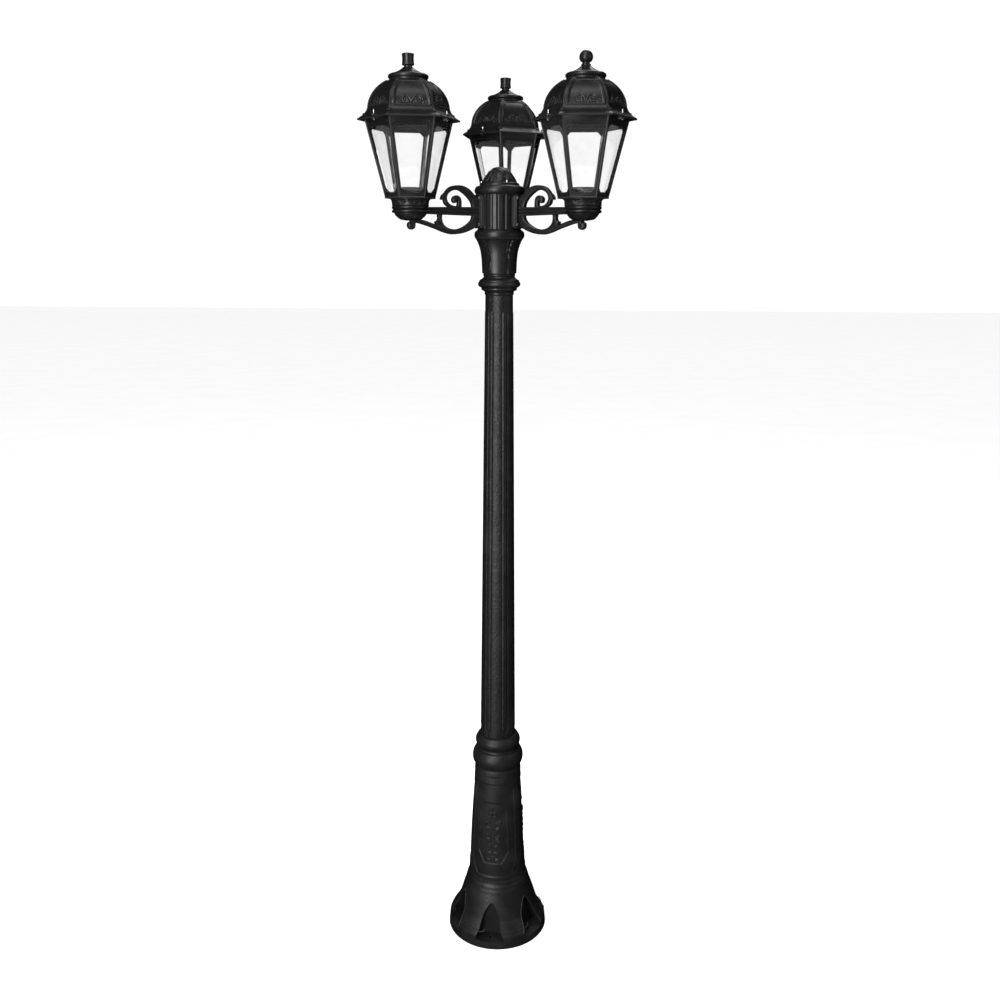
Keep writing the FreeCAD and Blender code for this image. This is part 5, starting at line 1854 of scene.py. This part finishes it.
    def build(self) -> None:
        """Build and dress the lantern."""
        name, place = self.side.value, self.spot.matrix()
        body = f"{name}_lantern"
        self.shop.hand_over(self.cup(), f"{name}_leafed_cup", body, SATIN_COAT, [f"{name}_neck_cup"], place)
        self.shop.hand_over(self.frame(), f"{name}_glazed_frame", body, SATIN_COAT, [f"{name}_frame"],
                            place)
        self.shop.hand_over(self.lampholder(), f"{name}_flanged_holder", body, HOLDER,
                            [f"{name}_lampholder"], place)
        self.shop.hand_over(self.shell(), f"{name}_holder_shell", body, STEEL, (), place)
        self.shop.dress(f"{name}_panes", PANE)
        self.shop.dress(f"{name}_cup_screws", STEEL)


@dataclass
class Roof:
    """Six-sided ornamented dome with its flared brim, screws, disc and finial."""

    shop: Workshop
    side: Side
    spot: Spot
    finial: FinialKind
    foot: float = 184.0
    brim_r: float = 115.0
    brim_mid_r: float = 101.5
    dome_r: float = 92.0
    brim_rise: float = 20.0
    dome_h: float = 71.4
    dome_cut: float = 58.0
    wall: float = 3.2
    recess: float = 1.4
    screw_at: float = 92.0
    skirt_drop: float = 12.0
    lowering: float = 4.6
    seat_h: float = 7.2
    rib_gap: float = 1.9
    rib_r: float = 1.25
    columns: int = 56

    def line(self) -> list[Point]:
        """Corner radius and height up the outside, from the brim's lower edge to under the disc.

        Returns:
            Corner radius and height of each point, in millimetres.
        """
        z = self.foot
        lip = [(self.brim_r - 0.8, z - 2.8), (self.brim_r, z - 1.8), (self.brim_r, z - 0.4),
               (self.brim_r - 0.8, z + 0.6)]
        slope = flow([lip[-1], (108.0, z + 4.2), (self.brim_mid_r, z + 8.8), (96.6, z + 13.6),
                      (93.8, z + 18.6), (92.6, z + 21.4)], 5)[1:]
        brim = [*lip, *slope]
        dome = []
        for step in range(1, 19):
            angle = math.radians(self.dome_cut * step / 18)
            dome.append((self.dome_r * math.cos(angle), z + self.brim_rise + self.dome_h * math.sin(angle)))
        return brim + dome

    def top_z(self) -> float:
        """Height of the dome's flat top."""
        return self.foot + self.brim_rise + self.dome_h * math.sin(math.radians(self.dome_cut))

    def ground(self) -> Ground:
        """The middle of one face, from the dome's foot up.

        Returns:
            The ground that ornament is laid on.
        """
        start = self.foot + self.brim_rise
        return Ground(tuple((r * FLAT, z) for r, z in self.line() if z > start), turned=False)

    def sector(self) -> bpy.types.Object:
        """Shape one of the six faces as a fine grid with a sunk panel in a raised border.

        Returns:
            The face, looking along +X and without thickness.
        """
        fine = refine(self.line(), 1.9)
        bpy.ops.object.select_all(action="DESELECT")
        bpy.ops.mesh.primitive_grid_add(x_subdivisions=self.columns, y_subdivisions=len(fine) - 1, size=2.0)
        piece = name_active("sector")
        points = points_of(piece)
        row = np.rint((points[:, 1] + 1) / 2 * (len(fine) - 1)).astype(int)
        radii, heights = np.array(fine)[:, 0][row], np.array(fine)[:, 1][row]
        across = points[:, 0] * radii / 2
        to_rib = (1.0 - np.abs(points[:, 0])) * radii / 2
        low, high = self.foot + 23.4, self.top_z() - 6.0
        inside = np.minimum(np.minimum(to_rib - 7.5, heights - low), high - heights)
        sunk = -self.recess * ease(inside, 1.8)
        line = 0.7 * np.exp(-(((inside + 1.4) / 0.9) ** 2)) - 0.5 * np.exp(-(((inside + 4.2) / 0.8) ** 2))
        line *= (to_rib > 2.0) & (heights > self.foot + 19.0)
        rib_relief = (sunk + line) * ease(to_rib, 2.0)
        reach = radii * FLAT + rib_relief
        across = across * reach / np.maximum(radii * FLAT, 1.0)
        move_points(piece, np.stack([reach, across, heights], axis=1))
        return piece

    def ornament(self) -> bpy.types.Object:
        """Model a face's flat ornament: two volutes that meet on a leaf, curls and a bud.

        Returns:
            The ornament, on the flat.
        """
        leafy, bud = leaf(17.0, 9.0, 1.9), dome(1.8, 1.6)
        leaves = [laid(leafy, 0.0, 9.0), laid(leafy, -3.5, 10.0, 48.0, 0.7),
                  laid(leafy, 3.5, 10.0, -48.0, 0.7)]
        pieces = [*leaves, laid(bud, 0.0, 8.0)]
        for way in (-1, 1):
            start = 180.0 if way > 0 else 0.0
            pieces.append(spiral(way * 12.6, 17.4, 9.6, 1.6, start, way * -1.6, 1.6))
            pieces.append(spiral(way * 28.0, 12.8, 5.2, 1.2, start, way * 1.4, 1.2))
            pieces.append(laid(bud, way * 12.6, 17.4, 0.0, 1.0))
            vine = flow([(way * 3.5, 17.6), (way * 8.0, 27.6), (way * 16.0, 29.0), (way * 22.5, 22.0),
                         (way * 24.0, 16.5)], 5)
            pieces.append(tube("vine", [(u, v, 0.0) for u, v in vine], [0.8] * len(vine), 2))
        for helper in (leafy, bud):
            discard(helper)
        return moved(join("ornament", pieces), Matrix.Translation((0, -self.lowering, 0)))

    def ribs(self) -> bpy.types.Object:
        """Double ribs down one corner, each with a small foot on the brim.

        Returns:
            The two ribs with their feet.
        """
        shown = [(r, z) for r, z in refine(self.line(), 4.0) if z > self.foot + 9.0]
        pieces = []
        for way in (-1, 1):
            line = [(r - 1.5, way * self.rib_gap, z + 0.25) for r, z in shown]
            pieces.append(tube("rib", line, [self.rib_r] * len(line), 2))
            toe = dome(2.6, 2.0)
            toe.data.transform(Matrix.Translation((shown[0][0] - 0.6, way * 2.4, shown[0][1])))
            pieces.append(toe)
        return join("ribs", pieces)

    def shell(self) -> bpy.types.Object:
        """Join six faces, give them a wall, and add ribs, ornament and screw seats.

        Returns:
            The roof, about the lantern's own axis.
        """
        body = join("roof", around(self.sector(), SIDES))
        tidy_mesh(body)
        apply_modifier(body, "SOLIDIFY", thickness=self.wall, offset=-1.0, use_even_offset=False)
        flower, ground, laid_on = self.ornament(), self.ground(), []
        for index in range(SIDES):
            twin = copy_of(flower, Matrix.Identity(4))
            ground.lay(twin, 60 * index, self.recess + 0.1)
            laid_on.append(twin)
        discard(flower)
        low, top = self.foot + 1.0, self.foot + self.seat_h
        seat = lathe("seat", [(2.4, low), (5.0, low), (5.0, self.foot + 6.6), (4.4, top), (2.4, top),
                              (2.4, low)], 24)
        seat.data.transform(Matrix.Translation((self.screw_at, 0, 0)))
        high, drop = self.foot + 2.0, self.foot - self.skirt_drop
        skirt = lathe("skirt", [(87.0, high), (82.6, drop), (80.6, drop), (84.6, high), (87.0, high)],
                      SIDES)
        under, over = self.top_z() - 3.2, self.top_z() - 0.1
        lid = lathe("lid", [(4.6, under), (46.0, under), (46.0, over), (4.6, over), (4.6, under)], SIDES)
        for hexagon in (skirt, lid):
            hexagon.data.transform(Matrix.Rotation(math.radians(30), 4, "Z"))
        return join("roof", [body, *around(self.ribs(), SIDES, 30), *laid_on, *around(seat, 3), skirt, lid])

    def disc(self) -> bpy.types.Object:
        """Turn the disc with its rolled edge and stepped top.

        Returns:
            The disc.
        """
        z = self.top_z()
        outline = [
            (4.3, z), (40.8, z), (42.4, z + 0.6), (42.7, z + 1.6), (42.7, z + 3.0), (42.0, z + 3.8),
            (42.4, z + 4.4),
            Bend((45.0, z + 8.6), (42.3, z + 12.8), 14), (41.0, z + 13.7), (38.8, z + 14.2),
            *flow([(38.8, z + 14.2), (30.4, z + 16.8), (22.4, z + 20.4), (15.4, z + 24.6),
                   (11.4, z + 28.0)], 6)[1:], (4.3, z + 28.0), (4.3, z),
        ]
        return lathe("disc", outline, 96)

    def top(self) -> bpy.types.Object:
        """Turn the finial of this lantern, with its stud.

        Returns:
            The finial with its stud.
        """
        z = self.top_z() + 28.0
        foot = [(0.05, z - 40.0), (4.0, z - 39.4), (4.0, z)]
        if self.finial is FinialKind.SLEEVE:
            low, high = z + 4.6, z + 28.4
            outline = [
                *foot, (9.6, z), (9.6, z + 1.2), (9.0, z + 1.8), (9.0, z + 3.4), (9.8, z + 4.2),
                (12.8, low), (13.6, low + 0.7),
                (13.6, low + 2.2), *flow([(13.6, low + 2.2), (13.0, low + 7.0), (12.8, low + 12.0),
                                          (13.0, low + 17.0), (13.6, high - 2.2)], 4)[1:],
                (13.6, high - 0.9), (12.7, high), (9.6, high), (9.0, high - 0.6), (8.8, high - 2.4),
                (0.05, high - 2.6),
            ]
        else:
            ball, rise = z + 7.5, 25.5
            outline = [
                *foot, (9.2, z), Bend((10.8, z + 2.25), (9.2, z + 4.5), 8), (8.4, z + 5.2), (8.2, z + 6.4),
                (8.6, ball),
                *flow([(8.6, ball), (12.6, ball + 3.0), (14.9, ball + 8.2), (15.0, ball + 12.6),
                       (13.2, ball + 18.2), (9.0, ball + 22.8), (4.6, ball + 24.9), (0.05, ball + rise)],
                       5)[1:],
            ]
        return lathe("finial", outline, 64)

    def build(self) -> None:
        """Build and dress the roof set."""
        name, place = self.side.value, self.spot.matrix()
        body = f"{name}_roof_set"
        self.shop.hand_over(self.shell(), f"{name}_domed_roof", body, SATIN_COAT, [f"{name}_roof"], place)
        screw = tall_screw(2.1, 7.4, 15.0)
        screw.data.transform(Matrix.Translation((self.screw_at, 0, self.foot + self.seat_h)))
        self.shop.hand_over(join("screws", around(screw, 3)), f"{name}_brim_screws", body, STEEL,
                            [f"{name}_roof_screws"], place)
        self.shop.hand_over(self.disc(), f"{name}_rolled_disc", body, SATIN_COAT, [f"{name}_roof_disc"],
                            place)
        self.shop.hand_over(self.top(), f"{name}_top_finial", body, SATIN_COAT, [f"{name}_finial"], place)
        self.shop.dress(f"{name}_finial_nut", STEEL)


@dataclass
class ArmScrews:
    """Four screws in each arm's flange."""

    shop: Workshop
    angles: tuple[float, ...]
    seat: float = 58.0
    axis_z: float = 1913.0
    rise: float = 30.0
    side: float = 12.5

    def build(self) -> None:
        """Build and dress the screws."""
        screws = []
        for angle in self.angles:
            for y in (-self.side, self.side):
                for z in (-self.rise, self.rise):
                    turn = Matrix.Rotation(math.radians(angle), 4, "Z")
                    place = turn @ Matrix.Translation((self.seat, y, self.axis_z + z))
                    screws.append(moved(flat_screw(4.4, 3.4, 17.0),
                                        place @ Matrix.Rotation(QUARTER, 4, "Y")))
        self.shop.hand_over(join("screws", screws), "flange_screws", Body.POST.value, DULL_STEEL,
                            ["arm_screws"])


# ---------------------------------------------------------------- floor, light and camera
@dataclass
class Studio:
    """Plain pale floor, soft studio light and the photograph's viewing angle."""

    floor_size: float = 60.0
    ambience: float = 1.06
    lens: float = 36.5
    stand: tuple[float, float, float] = (0.1593, -2.4849, 1.826)
    heading: float = 3.585
    tilt: float = 13.854
    roll: float = 0.195

    def floor(self) -> None:
        """Lay the floor."""
        bpy.ops.object.select_all(action="DESELECT")
        bpy.ops.mesh.primitive_plane_add(size=self.floor_size)
        floor = name_active("floor")
        nodes = Nodes("floor")
        grain = nodes.noise(400.0, 3.0)
        pale, shade = (0.95, 0.95, 0.95, 1.0), (0.93, 0.93, 0.93, 1.0)
        nodes.set(Base_Color=nodes.blend(nodes.spread(grain, 0.4, 0.6, 0.0, 1.0), pale, shade))
        nodes.set(Roughness=nodes.spread(grain, 0.3, 0.7, 0.7, 0.8), Specular_IOR_Level=0.1)
        floor.data.materials.append(nodes.material)
        floor.visible_glossy = False

    def world(self) -> None:
        """White surroundings that the black coats don't mirror, shown as they are."""
        world = bpy.data.worlds.new("studio")
        bpy.context.scene.world = world
        world.use_nodes = True
        sky = world.node_tree.nodes["Background"]
        sky.inputs["Color"].default_value = (1.0, 1.0, 1.0, 1.0)
        sky.inputs["Strength"].default_value = self.ambience
        world.cycles_visibility.glossy = False
        bpy.context.scene.view_settings.view_transform = "Standard"

    def light(self, name: str, place: tuple[float, float, float], aim: tuple[float, float, float],
              size: tuple[float, float], power: float) -> None:
        """Add a soft oblong light that looks at a point.

        Args:
            name: The light's name.
            place: Where it stands, in metres.
            aim: The point it looks at, in metres.
            size: Its width and height, in metres.
            power: Its power, in watts.
        """
        bpy.ops.object.light_add(type="AREA", location=place)
        lamp = bpy.context.object
        lamp.name = name
        lamp.data.shape = "RECTANGLE"
        lamp.data.size, lamp.data.size_y = size
        lamp.data.energy = power
        lamp.visible_camera = False
        lamp.rotation_euler = (Vector(aim) - Vector(place)).to_track_quat("-Z", "Y").to_euler()

    def camera(self) -> None:
        """Set the camera at the photograph's viewing angle."""
        bpy.ops.object.camera_add()
        camera = bpy.context.object
        camera.data.sensor_width = 36.0
        camera.data.lens = self.lens
        turn = (Matrix.Rotation(math.radians(self.heading), 4, "Z")
                @ Matrix.Rotation(math.radians(90 - self.tilt), 4, "X"))
        roll = Matrix.Rotation(math.radians(self.roll), 4, "Z")
        camera.matrix_world = Matrix.Translation(self.stand) @ turn @ roll
        bpy.context.scene.camera = camera

    def build(self) -> None:
        """Set up the studio."""
        self.floor()
        self.world()
        self.light("key", (-1.15, -2.85, 1.9), (0.0, 0.0, 1.3), (0.8, 3.2), 185.0)
        self.light("fill", (2.9, -1.2, 2.4), (0.0, 0.0, 1.3), (0.9, 2.2), 20.0)
        self.light("top", (-0.5, -1.5, 4.4), (0.0, 0.0, 1.7), (1.5, 1.5), 60.0)
        self.light("low", (-1.0, -1.7, 0.4), (0.0, 0.0, 0.3), (0.5, 0.7), 7.0)
        self.light("back", (0.5, 1.9, 4.6), (0.0, 0.0, 1.5), (1.6, 1.6), 42.0)
        self.camera()


def main() -> None:
    """Build every sub-assembly in order."""
    logging.basicConfig(level=logging.INFO, format="%(message)s")
    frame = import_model()
    shop = Workshop(frame["nodes"])
    angles = {Side.REAR: 90.0, Side.LEFT: 210.0, Side.RIGHT: 330.0}
    twists = {Side.REAR: 26.0, Side.LEFT: 13.0, Side.RIGHT: 0.0}
    finials = {Side.REAR: FinialKind.SLEEVE, Side.LEFT: FinialKind.SLEEVE, Side.RIGHT: FinialKind.BALL}
    Base(shop).build()
    Shaft(shop).build()
    Head(shop).build()
    ArmScrews(shop, tuple(angles.values())).build()
    for side in Side:
        spot = Spot(angles[side], twists[side])
        Arm(shop, side, angles[side]).build()
        Lantern(shop, side, spot).build()
        Roof(shop, side, spot, finials[side]).build()
    Studio().build()
    LOG.info("%d pieces made", shop.made)


if __name__ == "__main__":
    main()
